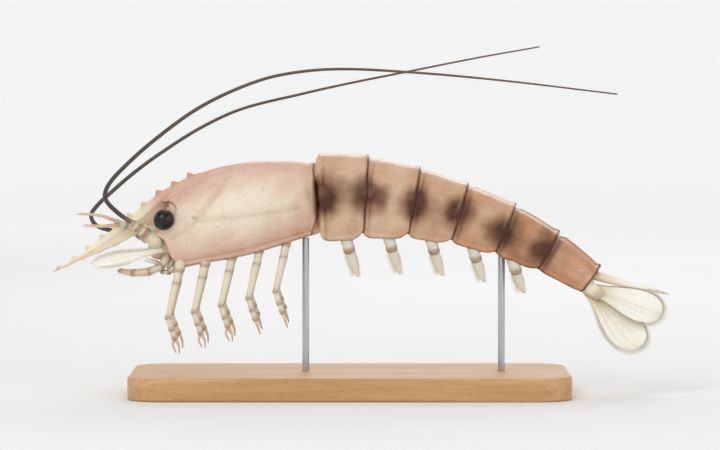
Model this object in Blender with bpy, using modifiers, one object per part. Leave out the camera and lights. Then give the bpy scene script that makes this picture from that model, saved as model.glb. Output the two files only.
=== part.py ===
"""A prawn with the build of the Indian white prawn, life size, swimming above a plain display stand.

The head points along -X and the animal's left side faces -Y. Z = 0 is the underside of the stand's base.
Sizes are named values in millimetres, and MM turns them into Blender's metres.

The body's long axis is an arc of a circle. A place on the body is given by s, the length along that arc
(0 over the stand's middle, growing towards the tail), y across the body, and u outwards from the arc.
"""

import math

import bmesh
import bpy
from mathutils import Matrix, Vector

MM = 0.001
GAP = 0.3  # between pieces that touch
SIDES = (("left", -1), ("right", 1))

# The arc that the back follows
ARC_RADIUS = 107.2
ARC_TOP = (-2.5, 51.4)  # x and z of the arc's highest point

# Carapace: stations along the arc
CARAPACE_DEPTH = ((-48.5, 8.7), (-40.0, 10.1), (-33.0, 11.3), (-26.0, 11.6), (-18.0, 11.0), (-6.0, 8.9))
CARAPACE_WIDTH = ((-48.5, 5.2), (-40.0, 7.4), (-33.0, 8.7), (-26.0, 9.3), (-18.0, 9.2), (-6.0, 8.4))
CARAPACE_FACE, CARAPACE_REAR = -45.9, -6.3  # the middle of the front, and the rear edge
CARAPACE_CORNER = 1.6  # how far the lower rear corner is rounded forward
CARAPACE_RINGS = 14
CREST_START, CREST_RUN, CREST_HEIGHT = -32.0, 8.0, 0.7  # the ridge that leads to the rostrum
# How far forward the front edge reaches, from the back (0) to the lower edge (1): the hollow is the orbit
CARAPACE_FRONT = ((0.0, -46.0), (0.12, -44.2), (0.2, -42.2), (0.36, -42.2), (0.46, -48.6), (0.58, -47.6),
                  (0.8, -47.8), (1.0, -46.6))

# Tail plates: where each begins, with the half depth and half width of the body there
PLATE_EDGES = (-6.0, 6.0, 18.6, 30.7, 43.2, 55.7, 69.6)
BODY_DEPTH = tuple(zip(PLATE_EDGES, (11.6, 10.7, 9.3, 8.0, 6.9, 5.6, 3.8)))
BODY_WIDTH = tuple(zip(PLATE_EDGES, (9.0, 8.8, 8.2, 7.4, 6.6, 5.6, 4.2)))
PLATE_STEP = 0.35  # a plate's rear edge stands this far outside the next plate
SHOULDER_LENGTH, SHOULDER_DROP = 2.4, 0.16  # the first plate swells from the carapace

# Sections, as shares of the half width and half depth: the flank's end, its fullness and the groove below
PLATE_SECTION = {
    "lower_edge": 0.74, "fullness": 1.2, "groove": ((0.66, -0.98), (0.52, -0.78)), "groove_top": -0.74,
}
CARAPACE_SECTION = {
    "lower_edge": 0.66, "fullness": 0.8, "groove": ((0.58, -0.97), (0.40, -0.68)), "groove_top": -0.66,
}
FLANK_STEPS = 8

# Underside between the carapace's edges: its ends, and half its section as shares of the size, and a drop
THORAX_ENDS, THORAX_RINGS = (-46.2, -7.4), 9
THORAX_SECTION = ((0.33, -0.68, -0.45), (0.42, -0.86, 0.0), (0.44, -0.99, 0.0), (0.22, -1.0, -0.55))

# Rostrum: its upper edge's two ends as x and z, and that edge's slope below level at each end
ROSTRUM_ROOT, ROSTRUM_TIP = (-47.6, 52.1), (-77.5, 31.8)
ROSTRUM_SLOPES = (24.0, 27.0)  # degrees
ROSTRUM_DEPTH, ROSTRUM_ROOT_DEPTH, ROSTRUM_BELLY = 4.9, 0.78, 0.5
ROSTRUM_THICKNESS = (3.2, 1.0)  # at the root and the tip
ROSTRUM_STEPS, TOOTH_PITCH, TOOTH_HEIGHT = 32, 4, 0.75
LOWER_TEETH_FROM = 0.42  # share of the length before the first lower tooth
ROSTRUM_RAKE = math.radians(60)  # how steeply its depth is taken, below level and back

# Head: stations as place along the arc, middle, half width and half depth
HEAD_SHAPE = ((-42.0, -0.6, 4.0, 4.8), (-45.2, -0.8, 4.2, 4.9), (-47.0, -1.6, 4.1, 5.0),
              (-48.8, -2.0, 3.6, 4.2), (-50.2, -2.4, 2.6, 2.9))
HEAD_NOSE = 0.9  # how far its rounded front stands out
HEAD_SIDES = 12
MOUTH_PLACE, MOUTH_SIZE, MOUTH_TURN, MOUTH_SIDES = (-48.0, -8.3), (2.1, 2.5, 2.6), -20.0, 12
EYE_RADIUS, EYE_PLACE, EYE_SIDES = 2.73, (-48.1, 6.0, 45.6), 14
STALK_ROOT, STALK_RADII = (-50.2, 1.7, 45.3), (1.1, 1.25, 1.7, 1.9)

# Antennules: a stem in three joints, then two short whips
ANTENNULE_ROOT, ANTENNULE_ELBOW = (-49.0, 2.5, 42.4), (-60.2, 2.7, 44.4)
ANTENNULE_TIPS = ((-70.7, 3.7, 46.9), (-69.4, 4.7, 43.9))
ANTENNULE_STEM = ((0.0, 1.3), (0.5, 1.2), (0.56, 1.1), (0.8, 1.05), (0.86, 0.95), (1.0, 0.85))
ANTENNULE_WHIP = ((0.3, 0.42), (0.65, 0.36), (1.0, 0.28))

# Antennal scales and third maxillipeds
SCALE_ROOT, SCALE_TIP, SCALE_WIDTH = (-48.6, 4.6, 37.9), (-66.2, 7.4, 34.3), 5.8
SCALE_TILT = 38.0  # degrees that the blade's outer edge drops from level
MAXILLIPED_ROUTE = ((-47.6, 2.4, 35.6), (-49.0, 3.0, 33.4), (-52.2, 3.7, 31.9), (-56.4, 3.8, 31.6),
                    (-59.9, 3.6, 32.2))
MAXILLIPED_RADII = (1.0, 1.0, 0.85, 0.7, 0.35)

# Antennae: the base on the head, then the whip's centre line as x, y outwards and z
ANTENNA_ROOT = (-50.2, 3.7, 39.7)
ANTENNA_BASE = ((0.0, 1.9), (0.45, 1.7), (0.55, 1.45), (0.96, 1.0))
ANTENNA_RADII = (0.60, 0.28)
ANTENNA_ROUTES = {
    "left": ((-56.2, 5.6, 44.7), (-60.2, 8.2, 47.8), (-62.9, 11.5, 51.4), (-61.9, 13.6, 54.9),
             (-57.2, 15.6, 60.1), (-49.4, 17.6, 66.9), (-39.0, 19.4, 74.4), (-28.6, 20.8, 79.6),
             (-18.2, 21.8, 83.0), (-4.0, 22.8, 84.6), (15.6, 24.0, 83.8), (39.0, 25.2, 81.7),
             (67.6, 26.6, 78.3)),
    "right": ((-56.4, 5.6, 41.8), (-62.2, 8.0, 42.2), (-66.6, 11.0, 43.4), (-68.2, 13.2, 46.0),
              (-66.3, 14.6, 48.9), (-63.0, 15.6, 52.0), (-57.2, 16.8, 57.0), (-49.4, 18.0, 62.7),
              (-39.0, 19.2, 69.2), (-28.6, 20.2, 73.9), (-13.0, 21.4, 77.8), (0.0, 22.2, 80.7),
              (15.6, 23.0, 83.8), (33.8, 24.0, 87.4), (50.2, 25.0, 90.3)),
}
ANTENNA_SPLITS = {"left": (0.115, 0.5), "right": (0.13, 0.5)}  # where each whip is parted along its length
ANTENNA_POINTS, ROUTE_STEPS = 11, 400  # along each part, and along the whole route

# Legs: where the five pairs leave the body, then each leg's bends below that as x, y outwards and z
LEG_TOPS = ((-43.9, 34.6), (-37.2, 36.0), (-30.2, 37.7), (-23.1, 39.6), (-16.1, 41.4))
LEG_BENDS = ((0.1, 3.8, 1.0), (0.0, 3.9, 0.0), (-0.5, 4.8, -2.4), (-1.2, 6.2, -5.8), (-2.2, 7.8, -10.2),
             (-3.1, 9.0, -14.2), (-2.1, 9.4, -17.2), (-1.3, 9.7, -19.4), (0.0, 10.0, -23.3))
LEG_RADII = (1.35, 1.3, 1.05, 0.95, 0.9, 0.82, 0.72, 0.78, 0.32)
CLAWED_PAIRS = 3
FINGER = ((-1.3, 9.7, -19.4), (-1.75, 9.75, -21.2), (-0.95, 9.95, -23.1))
FINGER_RADII = (0.55, 0.42, 0.28)

# Swimming legs under the tail: place along the arc, and length
SWIMMERETS = ((1.2, 9.6), (13.2, 9.4), (25.1, 9.1), (37.0, 8.7), (48.6, 8.3))
SWIMMERET_LEAN = 15.0  # degrees that they trail
SWIMMERET_ROOT = (0.60, -0.84)  # across and down, as shares of the body's half width and half depth
SWIMMERET_SHAPE = ((0.0, 1.6, 1.15), (0.38, 1.45, 1.05), (0.46, 1.25, 0.8), (0.75, 1.1, 0.65),
                   (1.0, 0.55, 0.4))
INNER_START, INNER_LENGTH, INNER_SWING = 0.36, 0.42, (0.12, 0.24)  # the smaller paddle, back and inwards
INNER_SHAPE = ((0.0, 0.95, 0.7), (0.5, 0.86, 0.6), (1.0, 0.48, 0.35))

# Tail fan
TELSON_ROOT, TELSON_TIP = (62.4, 31.2), (82.8, 26.1)
TELSON_SHAPE = ((0.0, 1.5, 2.6), (0.25, 1.5, 2.7), (0.6, 1.15, 1.9), (0.85, 0.75, 1.0), (1.0, 0.35, 0.4))
FAN_ROOT = (61.8, 2.0, 28.0)
# Each blade's tip, its width, and how far it lies under the one above
FAN_BLADES = (("endopod", (80.7, 5.0, 21.4), 8.4, 0.0), ("exopod", (75.4, 8.4, 13.6), 9.6, -1.3))
BLADE_THICKNESS = 0.8
LEAF_STEPS = 10

# Stand
BASE_SIZE, BASE_CORNER, BASE_EDGE = (114.0, 52.0, 6.0), 9.0, 0.8
BASE_POINTS = 20  # round its outline
ROD_RADIUS, ROD_SEAT, ROD_SIDES = 0.9, 3.5, 14
RODS = (("front", -11.5, 42.0, "thorax"), ("rear", 39.4, 38.6, "abdomen_5"))  # x, top and what it meets

COLOURS = {  # sRGB hex, roughness, metallic
    "shell": ("D9B9A4", 0.35, 0.0),
    "tail_shell": ("B98F74", 0.35, 0.0),
    "limb": ("DCD2BD", 0.4, 0.0),
    "fan": ("EBE4CF", 0.35, 0.0),
    "rostrum": ("E6DCC2", 0.35, 0.0),
    "flesh": ("D8BFA9", 0.45, 0.0),
    "eye": ("17161B", 0.12, 0.0),
    "whip": ("4A3B36", 0.4, 0.0),
    "beech": ("C79B6A", 0.55, 0.0),
    "steel": ("B9BCC0", 0.25, 1.0),
}


# ---------------------------------------------------------------- numbers and places

def value_at(stations, place):
    """A smooth value between stations of (place, value), by Hermite curves with the neighbours' slopes."""
    xs = [station[0] for station in stations]
    ys = [station[1] for station in stations]
    place = min(max(place, xs[0]), xs[-1])
    i = max(k for k in range(len(xs) - 1) if xs[k] <= place or k == 0)
    slopes = []
    for k in (i, i + 1):
        before, after = max(k - 1, 0), min(k + 1, len(xs) - 1)
        slopes.append((ys[after] - ys[before]) / (xs[after] - xs[before]))
    span = xs[i + 1] - xs[i]
    t = (place - xs[i]) / span
    rise = 3 * t * t - 2 * t ** 3
    return (ys[i] * (1 - rise) + ys[i + 1] * rise
            + span * (slopes[0] * t * (1 - t) ** 2 - slopes[1] * t * t * (1 - t)))


def smooth_step(t):
    t = min(max(t, 0.0), 1.0)
    return t * t * (3 - 2 * t)


def body_point(s, y, u):
    """The world point, in millimetres, at s along the body's arc, y across it and u outwards from it."""
    angle = s / ARC_RADIUS
    reach = ARC_RADIUS + u
    rise = reach * math.cos(angle) - ARC_RADIUS
    return Vector((ARC_TOP[0] + reach * math.sin(angle), y, ARC_TOP[1] + rise))


def on_side(point, side):
    """A point given for the right side, on the side that is -1 for left and 1 for right."""
    return Vector((point[0], side * point[1], point[2]))


def flank(t, lower_edge, fullness):
    """Share of the half width and half depth at t down the flank, from the back (0) to the lower edge (1)."""
    last = math.pi - math.asin(lower_edge)
    angle = t * last
    return math.sin(angle), 1 - 2 * ((1 - math.cos(angle)) / (1 - math.cos(last))) ** fullness


def section(width, depth, shape, grow=0.0):
    """A cross-section as (t, y, u), round from the back: two flanks, and the groove between their lower edges.

    Grow moves its outline outwards, which makes the groove smaller.
    """
    half = []
    for k in range(FLANK_STEPS + 1):
        t = k / FLANK_STEPS
        y, u = flank(t, shape["lower_edge"], shape["fullness"])
        half.append((t, y * (width + grow), u * (depth + grow)))
    half += [(1.0, y * width - grow, u * depth - grow) for y, u in shape["groove"]]
    mirrored = [(t, -y, u) for t, y, u in half[:0:-1]]
    return half + [(1.0, 0.0, shape["groove_top"] * depth - grow)] + mirrored


def curve_through(points, count):
    """Points evenly spaced along a smooth curve through the given ones."""
    along = [0.0]
    for a, b in zip(points, points[1:]):
        along.append(along[-1] + (b - a).length)
    tracks = [tuple(zip(along, [point[axis] for point in points])) for axis in range(3)]
    places = [along[-1] * k / (count - 1) for k in range(count)]
    return [Vector([value_at(track, place) for track in tracks]) for place in places]


# ---------------------------------------------------------------- objects

def clear_scene():
    for obj in list(bpy.data.objects):
        bpy.data.objects.remove(obj, do_unlink=True)


def new_collection(name):
    made = bpy.data.collections.new(name)
    bpy.context.scene.collection.children.link(made)
    return made


def new_empty(name, place):
    empty = bpy.data.objects.new(name, None)
    empty.location = Vector(place) * MM
    MODEL.objects.link(empty)
    return empty


def linear(value):
    return value / 12.92 if value <= 0.04045 else ((value + 0.055) / 1.055) ** 2.4


def new_material(name, hex_colour, roughness, metallic):
    material = bpy.data.materials.new(name)
    material.use_nodes = True
    shader = material.node_tree.nodes["Principled BSDF"]
    red, green, blue = (linear(int(hex_colour[k:k + 2], 16) / 255) for k in (0, 2, 4))
    shader.inputs["Base Color"].default_value = (red, green, blue, 1)
    shader.inputs["Roughness"].default_value = roughness
    shader.inputs["Metallic"].default_value = metallic
    return material


def new_node(name, mesh, origin, colour, parent):
    """An object of the model, its mesh moved so that its origin is at a place given in millimetres."""
    mesh.transform(Matrix.Translation(-Vector(origin) * MM))
    mesh.shade_smooth()
    mesh.set_sharp_from_angle(angle=math.radians(40))
    mesh.materials.clear()
    mesh.materials.append(new_material(name, *COLOURS[colour]))
    obj = bpy.data.objects.new(name, mesh)
    obj.parent = parent
    obj.location = Vector(origin) * MM - parent.location
    MODEL.objects.link(obj)
    return obj


def helper(obj):
    """Makes an object a cutter: kept out of the render, and drawn as wire."""
    obj.hide_render = True
    obj.display_type = "WIRE"
    CUTTERS.objects.link(obj)
    return obj


def add_clearance(obj, mesh):
    """Keeps a mesh, in world places, as the shape that cuts this object's neighbours."""
    mesh.transform(Matrix.Translation(-obj.location - obj.parent.location))
    cutter = bpy.data.objects.new(obj.name + "_clearance", mesh)
    cutter.parent = obj.parent
    cutter.location = obj.location
    return helper(cutter)


def clearance(obj):
    """The object's clearance: its own shape, larger all round by the gap, unless it was given one."""
    made = bpy.data.objects.get(obj.name + "_clearance")
    if made:
        return made
    form = bmesh.new()
    form.from_mesh(obj.data)
    form.normal_update()
    moves = [vert.normal * min(vert.calc_shell_factor(), 2.0) * GAP * MM for vert in form.verts]
    for vert, move in zip(form.verts, moves):
        vert.co += move
    mesh = bpy.data.meshes.new("clearance")
    form.to_mesh(mesh)
    form.free()
    mesh.transform(Matrix.Translation(obj.location + obj.parent.location))
    return add_clearance(obj, mesh)


def combine(obj, other, operation):
    boolean = obj.modifiers.new(f"{operation.lower()} {other.name}", "BOOLEAN")
    boolean.operation = operation
    boolean.object = other


def trim(obj, *neighbours):
    """Cuts the object back where it reaches into its neighbours, leaving the gap."""
    for neighbour in neighbours:
        combine(obj, clearance(neighbour), "DIFFERENCE")


def join(obj, mesh):
    """Joins a second closed mesh, in world places, to the object."""
    mesh.transform(Matrix.Translation(-obj.location - obj.parent.location))
    other = bpy.data.objects.new(f"{obj.name}_more", mesh)
    other.parent = obj.parent
    other.location = obj.location
    combine(obj, helper(other), "UNION")


# ---------------------------------------------------------------- meshes

def loft(rings, ends):
    """A closed mesh through like rings of points in millimetres, capped by fans to two end points."""
    form = bmesh.new()
    rows = [[form.verts.new(point * MM) for point in ring] for ring in rings]
    for row, after in zip(rows, rows[1:]):
        for k in range(len(row)):
            form.faces.new((row[k - 1], row[k], after[k], after[k - 1]))
    for row, end in ((rows[0], ends[0]), (rows[-1], ends[1])):
        middle = form.verts.new(end * MM)
        for k in range(len(row)):
            form.faces.new((row[k - 1], row[k], middle))
    bmesh.ops.recalc_face_normals(form, faces=form.faces)
    mesh = bpy.data.meshes.new("loft")
    form.to_mesh(mesh)
    form.free()
    return mesh


def limb(stations, round_points=8):
    """A closed mesh along stations of (centre, half width in the X-Z plane, half width along Y)."""
    centres = [station[0] for station in stations]
    rings = []
    for k, (centre, in_plane, across) in enumerate(stations):
        before, after = centres[max(k - 1, 0)], centres[min(k + 1, len(centres) - 1)]
        way = (after - before).normalized()
        normal = Vector((-way.z, 0, way.x)).normalized()
        side = way.cross(normal)
        ring = []
        for j in range(round_points):
            angle = math.tau * (j + 0.5) / round_points
            ring.append(centre + normal * in_plane * math.cos(angle) + side * across * math.sin(angle))
        rings.append(ring)
    return loft(rings, (centres[0], centres[-1]))


def mesh_of(obj):
    """The mesh of a curve object, in world places, its caps joined to its sides. The curve is removed."""
    MODEL.objects.link(obj)
    bpy.context.view_layer.update()
    graph = bpy.context.evaluated_depsgraph_get()
    mesh = bpy.data.meshes.new_from_object(obj.evaluated_get(graph))
    mesh.transform(obj.matrix_world)
    curve = obj.data
    bpy.data.objects.remove(obj)
    bpy.data.curves.remove(curve)
    form = bmesh.new()
    form.from_mesh(mesh)
    bmesh.ops.remove_doubles(form, verts=form.verts, dist=0.002 * MM)
    bmesh.ops.recalc_face_normals(form, faces=form.faces)
    form.to_mesh(mesh)
    form.free()
    return mesh


def tube(points, radii):
    """A round tapered tube through points in millimetres."""
    curve = bpy.data.curves.new("tube", "CURVE")
    curve.dimensions = "3D"
    curve.bevel_depth = MM
    curve.bevel_resolution = 1
    curve.use_fill_caps = True
    spline = curve.splines.new("POLY")
    spline.points.add(len(points) - 1)
    for knot, point, radius in zip(spline.points, points, radii):
        knot.co = (*(Vector(point) * MM), 1)
        knot.radius = radius
    return mesh_of(bpy.data.objects.new("tube", curve))


def sheet(outline, thickness, frame):
    """A flat blade from an outline in millimetres, set in the frame's first two axes."""
    curve = bpy.data.curves.new("sheet", "CURVE")
    curve.dimensions = "2D"
    curve.fill_mode = "BOTH"
    curve.extrude = thickness * MM / 2
    spline = curve.splines.new("POLY")
    spline.points.add(len(outline) - 1)
    for knot, point in zip(spline.points, outline):
        knot.co = (point[0] * MM, point[1] * MM, 0, 1)
    spline.use_cyclic_u = True
    flat = bpy.data.objects.new("sheet", curve)
    flat.matrix_world = frame
    return mesh_of(flat)


def leaf_outline(length, width, blunt):
    """A leaf from its root at (0, 0) along +X, broader on its -Y side. A high blunt squares its tip."""
    upper, lower = [], []
    for k in range(LEAF_STEPS + 1):
        t = math.sin(math.pi / 2 * k / LEAF_STEPS)
        half = width / 2 * (0.3 + 0.7 * smooth_step(t / 0.8)) * (1 - t ** blunt) ** 0.5
        upper.append((length * t, half * 0.92))
        lower.append((length * t, -half * 1.08))
    return upper + lower[-2::-1]


def blade_frame(root, tip, across):
    """The matrix whose X runs from root to tip and whose Y is nearest to the direction across, in metres."""
    way = (tip - root).normalized()
    normal = way.cross(across).normalized()
    turn = Matrix((way, normal.cross(way), normal)).transposed().to_4x4()
    return Matrix.Translation(root * MM) @ turn


# ---------------------------------------------------------------- the animal

def carapace_size(s):
    return value_at(CARAPACE_WIDTH, s), value_at(CARAPACE_DEPTH, s)


def carapace_mesh(grow=0.0):
    """The carapace from its shaped front edge to its rear edge."""
    rings = []
    for k in range(CARAPACE_RINGS + 1):
        share = k / CARAPACE_RINGS
        ring = []
        for place, (t, flank_y, flank_u) in enumerate(section(1.0, 1.0, CARAPACE_SECTION)):
            front = value_at(CARAPACE_FRONT, t) - grow
            rear = CARAPACE_REAR - CARAPACE_CORNER * smooth_step((t - 0.75) / 0.25) + grow
            s = front + (rear - front) * share
            t, y, u = section(*carapace_size(s), CARAPACE_SECTION, grow)[place]
            crest = CREST_HEIGHT * smooth_step((CREST_START - s) / CREST_RUN) if place == 0 else 0
            ring.append(body_point(s, y, u + crest))
        rings.append(ring)
    return loft(rings, (body_point(CARAPACE_FACE - grow, 0, 0), body_point(CARAPACE_REAR + grow, 0, 0)))


def build_carapace(body):
    carapace = new_node("carapace", carapace_mesh(), body_point(-26, 0, 0), "shell", body)
    add_clearance(carapace, carapace_mesh(GAP))
    return carapace


def build_thorax(body):
    """The narrow underside between the carapace's lower edges, which carries the legs."""
    rings = []
    start, end = THORAX_ENDS
    for k in range(THORAX_RINGS + 1):
        s = start + (end - start) * k / THORAX_RINGS
        width, depth = carapace_size(s)
        half = [(across * width, down * depth + drop) for across, down, drop in THORAX_SECTION]
        full = half + [(-y, u) for y, u in half[::-1]]
        rings.append([body_point(s, y, u) for y, u in full])
    middles = [sum(ring, Vector()) / len(ring) for ring in (rings[0], rings[-1])]
    return new_node("thorax", loft(rings, middles), body_point(-26, 0, -11), "flesh", body)


def plate_mesh(index, grow=0.0):
    """One ring of the tail, from just behind one edge to just before the next."""
    start, end = PLATE_EDGES[index] + GAP / 2, PLATE_EDGES[index + 1] - GAP / 2
    shares = (0.0, 0.07, 0.2, 0.45, 0.75, 1.0) if index == 0 else (0.0, 0.33, 0.67, 1.0)
    rings = []
    for share in shares:
        s = start + (end - start) * share
        tuck = SHOULDER_DROP * (1 - smooth_step((s - PLATE_EDGES[0]) / SHOULDER_LENGTH))
        step = PLATE_STEP * (share - 0.5)
        width = (value_at(BODY_WIDTH, s) + step) * (1 - tuck)
        depth = (value_at(BODY_DEPTH, s) + step) * (1 - tuck)
        s += grow * (2 * share - 1)
        rings.append([body_point(s, y, u) for t, y, u in section(width, depth, PLATE_SECTION, grow)])
    return loft(rings, (body_point(start - grow, 0, 0), body_point(end + grow, 0, 0)))


def build_plate(index, body):
    middle = body_point((PLATE_EDGES[index] + PLATE_EDGES[index + 1]) / 2, 0, 0)
    plate = new_node(f"abdomen_{index + 1}", plate_mesh(index), middle, "tail_shell", body)
    add_clearance(plate, plate_mesh(index, GAP))
    return plate


def rostrum_edges(share):
    """Upper and lower edge of the rostrum, without teeth, as x and z at a share of its length."""
    start, end = Vector(ROSTRUM_ROOT), Vector(ROSTRUM_TIP)
    reach = (end - start).length
    slopes = [math.radians(angle) for angle in ROSTRUM_SLOPES]
    pulls = [Vector((-math.cos(slope), -math.sin(slope))) * reach for slope in slopes]
    upper = start.lerp(end, smooth_step(share))
    upper += pulls[0] * share * (1 - share) ** 2 - pulls[1] * share ** 2 * (1 - share)
    belly = ROSTRUM_ROOT_DEPTH + ROSTRUM_BELLY * math.sin(math.pi * min(share / 0.8, 1))
    depth = ROSTRUM_DEPTH * belly * (1 - share) ** 0.55 * (1 - share ** 3)
    return upper, upper + Vector((math.cos(ROSTRUM_RAKE), -math.sin(ROSTRUM_RAKE))) * depth


def build_rostrum(body):
    """A blade with a row of teeth on each edge, thick at the root and thin at the tip."""
    upper, lower = [], []
    for k in range(ROSTRUM_STEPS + 1):
        share = k / ROSTRUM_STEPS
        top, bottom = rostrum_edges(share)
        if k % TOOTH_PITCH == TOOTH_PITCH // 2:
            top += Vector((-0.5, 1.0)) * TOOTH_HEIGHT * (1 - 0.45 * share)
        if k % TOOTH_PITCH == 0 and LOWER_TEETH_FROM < share < 1:
            bottom += Vector((-0.6, -0.8)) * TOOTH_HEIGHT * (1 - share) ** 0.5
        upper.append(top)
        lower.append(bottom)
    mesh = sheet(upper + lower[-2::-1], 1.0, Matrix.Rotation(math.radians(90), 4, "X"))
    thick, thin = ROSTRUM_THICKNESS
    for vert in mesh.vertices:
        share = smooth_step((vert.co.x / MM - ROSTRUM_ROOT[0]) / (ROSTRUM_TIP[0] - ROSTRUM_ROOT[0]))
        vert.co.y *= thick + (thin - thick) * share
    return new_node("rostrum", mesh, (ROSTRUM_ROOT[0], 0, ROSTRUM_ROOT[1]), "rostrum", body)


def build_head(body):
    """The front of the head, which carries the eyes and feelers, ahead of the carapace's edge."""
    rings = []
    for s, middle, width, depth in HEAD_SHAPE:
        angles = [math.tau * k / HEAD_SIDES for k in range(HEAD_SIDES)]
        rings.append([body_point(s, width * math.sin(a), middle + depth * math.cos(a)) for a in angles])
    rear, front = HEAD_SHAPE[0], HEAD_SHAPE[-1]
    ends = body_point(rear[0], 0, rear[1]), body_point(front[0] - HEAD_NOSE, 0, front[1])
    return new_node("head", loft(rings, ends), body_point(-46, 0, -1.5), "flesh", body)


def ball(place, size, segments, turn):
    """A sphere's mesh at a place in millimetres, stretched to a size and then turned by a matrix."""
    form = bmesh.new()
    bmesh.ops.create_uvsphere(form, u_segments=segments, v_segments=segments * 2 // 3, radius=MM)
    bmesh.ops.scale(form, vec=size, verts=form.verts)
    bmesh.ops.rotate(form, matrix=turn, verts=form.verts)
    bmesh.ops.translate(form, vec=place * MM, verts=form.verts)
    mesh = bpy.data.meshes.new("ball")
    form.to_mesh(mesh)
    form.free()
    return mesh


def build_mouth(body):
    place = body_point(MOUTH_PLACE[0], 0, MOUTH_PLACE[1])
    mesh = ball(place, MOUTH_SIZE, MOUTH_SIDES, Matrix.Rotation(math.radians(MOUTH_TURN), 3, "Y"))
    return new_node("mouthparts", mesh, place, "flesh", body)


def build_eye(name, side, body):
    place = on_side(EYE_PLACE, side)
    mesh = ball(place, [EYE_RADIUS] * 3, EYE_SIDES, Matrix.Rotation(math.radians(90), 3, "X"))
    return new_node(f"eye_{name}", mesh, place, "eye", body)


def build_stalk(name, side, body):
    root, end = on_side(STALK_ROOT, side), on_side(EYE_PLACE, side)
    points = [root.lerp(end, k / (len(STALK_RADII) - 1)) for k in range(len(STALK_RADII))]
    return new_node(f"eyestalk_{name}", tube(points, STALK_RADII), root, "limb", body)


def build_antennule(name, side, body):
    """A jointed stem, which splits into two short whips."""
    root, elbow = on_side(ANTENNULE_ROOT, side), on_side(ANTENNULE_ELBOW, side)
    tips = [on_side(tip, side) for tip in ANTENNULE_TIPS]
    upper = [(root.lerp(elbow, share), radius) for share, radius in ANTENNULE_STEM]
    upper += [(elbow.lerp(tips[0], share), radius) for share, radius in ANTENNULE_WHIP]
    inside = root.lerp(elbow, 0.94)
    lower = [(inside, ANTENNULE_WHIP[0][1])]
    lower += [(elbow.lerp(tips[1], share), radius) for share, radius in ANTENNULE_WHIP]
    node = new_node(f"antennule_{name}", tube(*zip(*upper)), root, "limb", body)
    join(node, tube(*zip(*lower)))
    return node


def build_antenna(name, side, body):
    """The base on the head, then a whip in three lengths."""
    route = [on_side(point, side) for point in ANTENNA_ROUTES[name]]
    root = on_side(ANTENNA_ROOT, side)
    stem = [(root.lerp(route[0], share), radius) for share, radius in ANTENNA_BASE]
    base = new_node(f"antenna_base_{name}", tube(*zip(*stem)), root, "limb", body)
    cuts = (0.0, *ANTENNA_SPLITS[name], 1.0)
    points = curve_through(route, ROUTE_STEPS + 1)
    thick, thin = ANTENNA_RADII
    whips = []
    for part, (first, last) in enumerate(zip(cuts, cuts[1:]), start=1):
        places = [first + (last - first) * k / (ANTENNA_POINTS - 1) for k in range(ANTENNA_POINTS)]
        chosen = [points[round(place * ROUTE_STEPS)] for place in places]
        chosen[0] = chosen[0] + (chosen[1] - chosen[0]).normalized() * GAP
        radii = [thick + (thin - thick) * place for place in places]
        whips.append(new_node(f"antenna_{part}_{name}", tube(chosen, radii), chosen[0], "whip", body))
    return base, whips


def build_scale(name, side, body):
    """The broad blade beside each antenna."""
    root, tip = on_side(SCALE_ROOT, side), on_side(SCALE_TIP, side)
    tilt = math.radians(SCALE_TILT)
    across = Vector((0, -side * math.cos(tilt), math.sin(tilt)))
    outline = leaf_outline((tip - root).length, SCALE_WIDTH, 4)
    mesh = sheet(outline, BLADE_THICKNESS, blade_frame(root, tip, across))
    return new_node(f"antennal_scale_{name}", mesh, root, "fan", body)


def build_maxilliped(name, side, body):
    """The last of the mouth's limbs, folded forward under the head."""
    route = [on_side(point, side) for point in MAXILLIPED_ROUTE]
    return new_node(f"maxilliped_{name}", tube(route, MAXILLIPED_RADII), route[0], "limb", body)


def build_leg(pair, name, side, body):
    top = Vector((LEG_TOPS[pair][0], 0, LEG_TOPS[pair][1]))
    bends = [top + on_side(bend, side) for bend in LEG_BENDS]
    leg = new_node(f"leg_{pair + 1}_{name}", tube(bends, LEG_RADII), bends[1], "limb", body)
    if pair < CLAWED_PAIRS:
        finger = [top + on_side(bend, side) for bend in FINGER]
        join(leg, tube(finger, FINGER_RADII))
    return leg


def build_swimmeret(pair, name, side, body):
    """A paddle that trails below its plate, with a smaller inner one beside it."""
    s, length = SWIMMERETS[pair]
    width, depth = value_at(BODY_WIDTH, s), value_at(BODY_DEPTH, s)
    root = body_point(s, side * SWIMMERET_ROOT[0] * width, SWIMMERET_ROOT[1] * depth)
    lean = math.radians(SWIMMERET_LEAN)
    way = Vector((math.sin(lean), 0, -math.cos(lean)))
    reach = length + depth * (1 + SWIMMERET_ROOT[1])
    outer = [(root + way * reach * share, wide, thick) for share, wide, thick in SWIMMERET_SHAPE]
    node = new_node(f"pleopod_{pair + 1}_{name}", limb(outer), root, "limb", body)
    start = root + way * reach * INNER_START - Vector((0, side * GAP, 0))
    swing = (way + Vector((INNER_SWING[0], -side * INNER_SWING[1], 0))).normalized()
    inner_reach = swing * reach * INNER_LENGTH
    inner = [(start + inner_reach * share, wide, thick) for share, wide, thick in INNER_SHAPE]
    join(node, limb(inner, 6))
    return node


def build_telson(body):
    root, tip = Vector((TELSON_ROOT[0], 0, TELSON_ROOT[1])), Vector((TELSON_TIP[0], 0, TELSON_TIP[1]))
    stations = [(root.lerp(tip, share), high, wide) for share, high, wide in TELSON_SHAPE]
    return new_node("telson", limb(stations), root, "fan", body)


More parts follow.
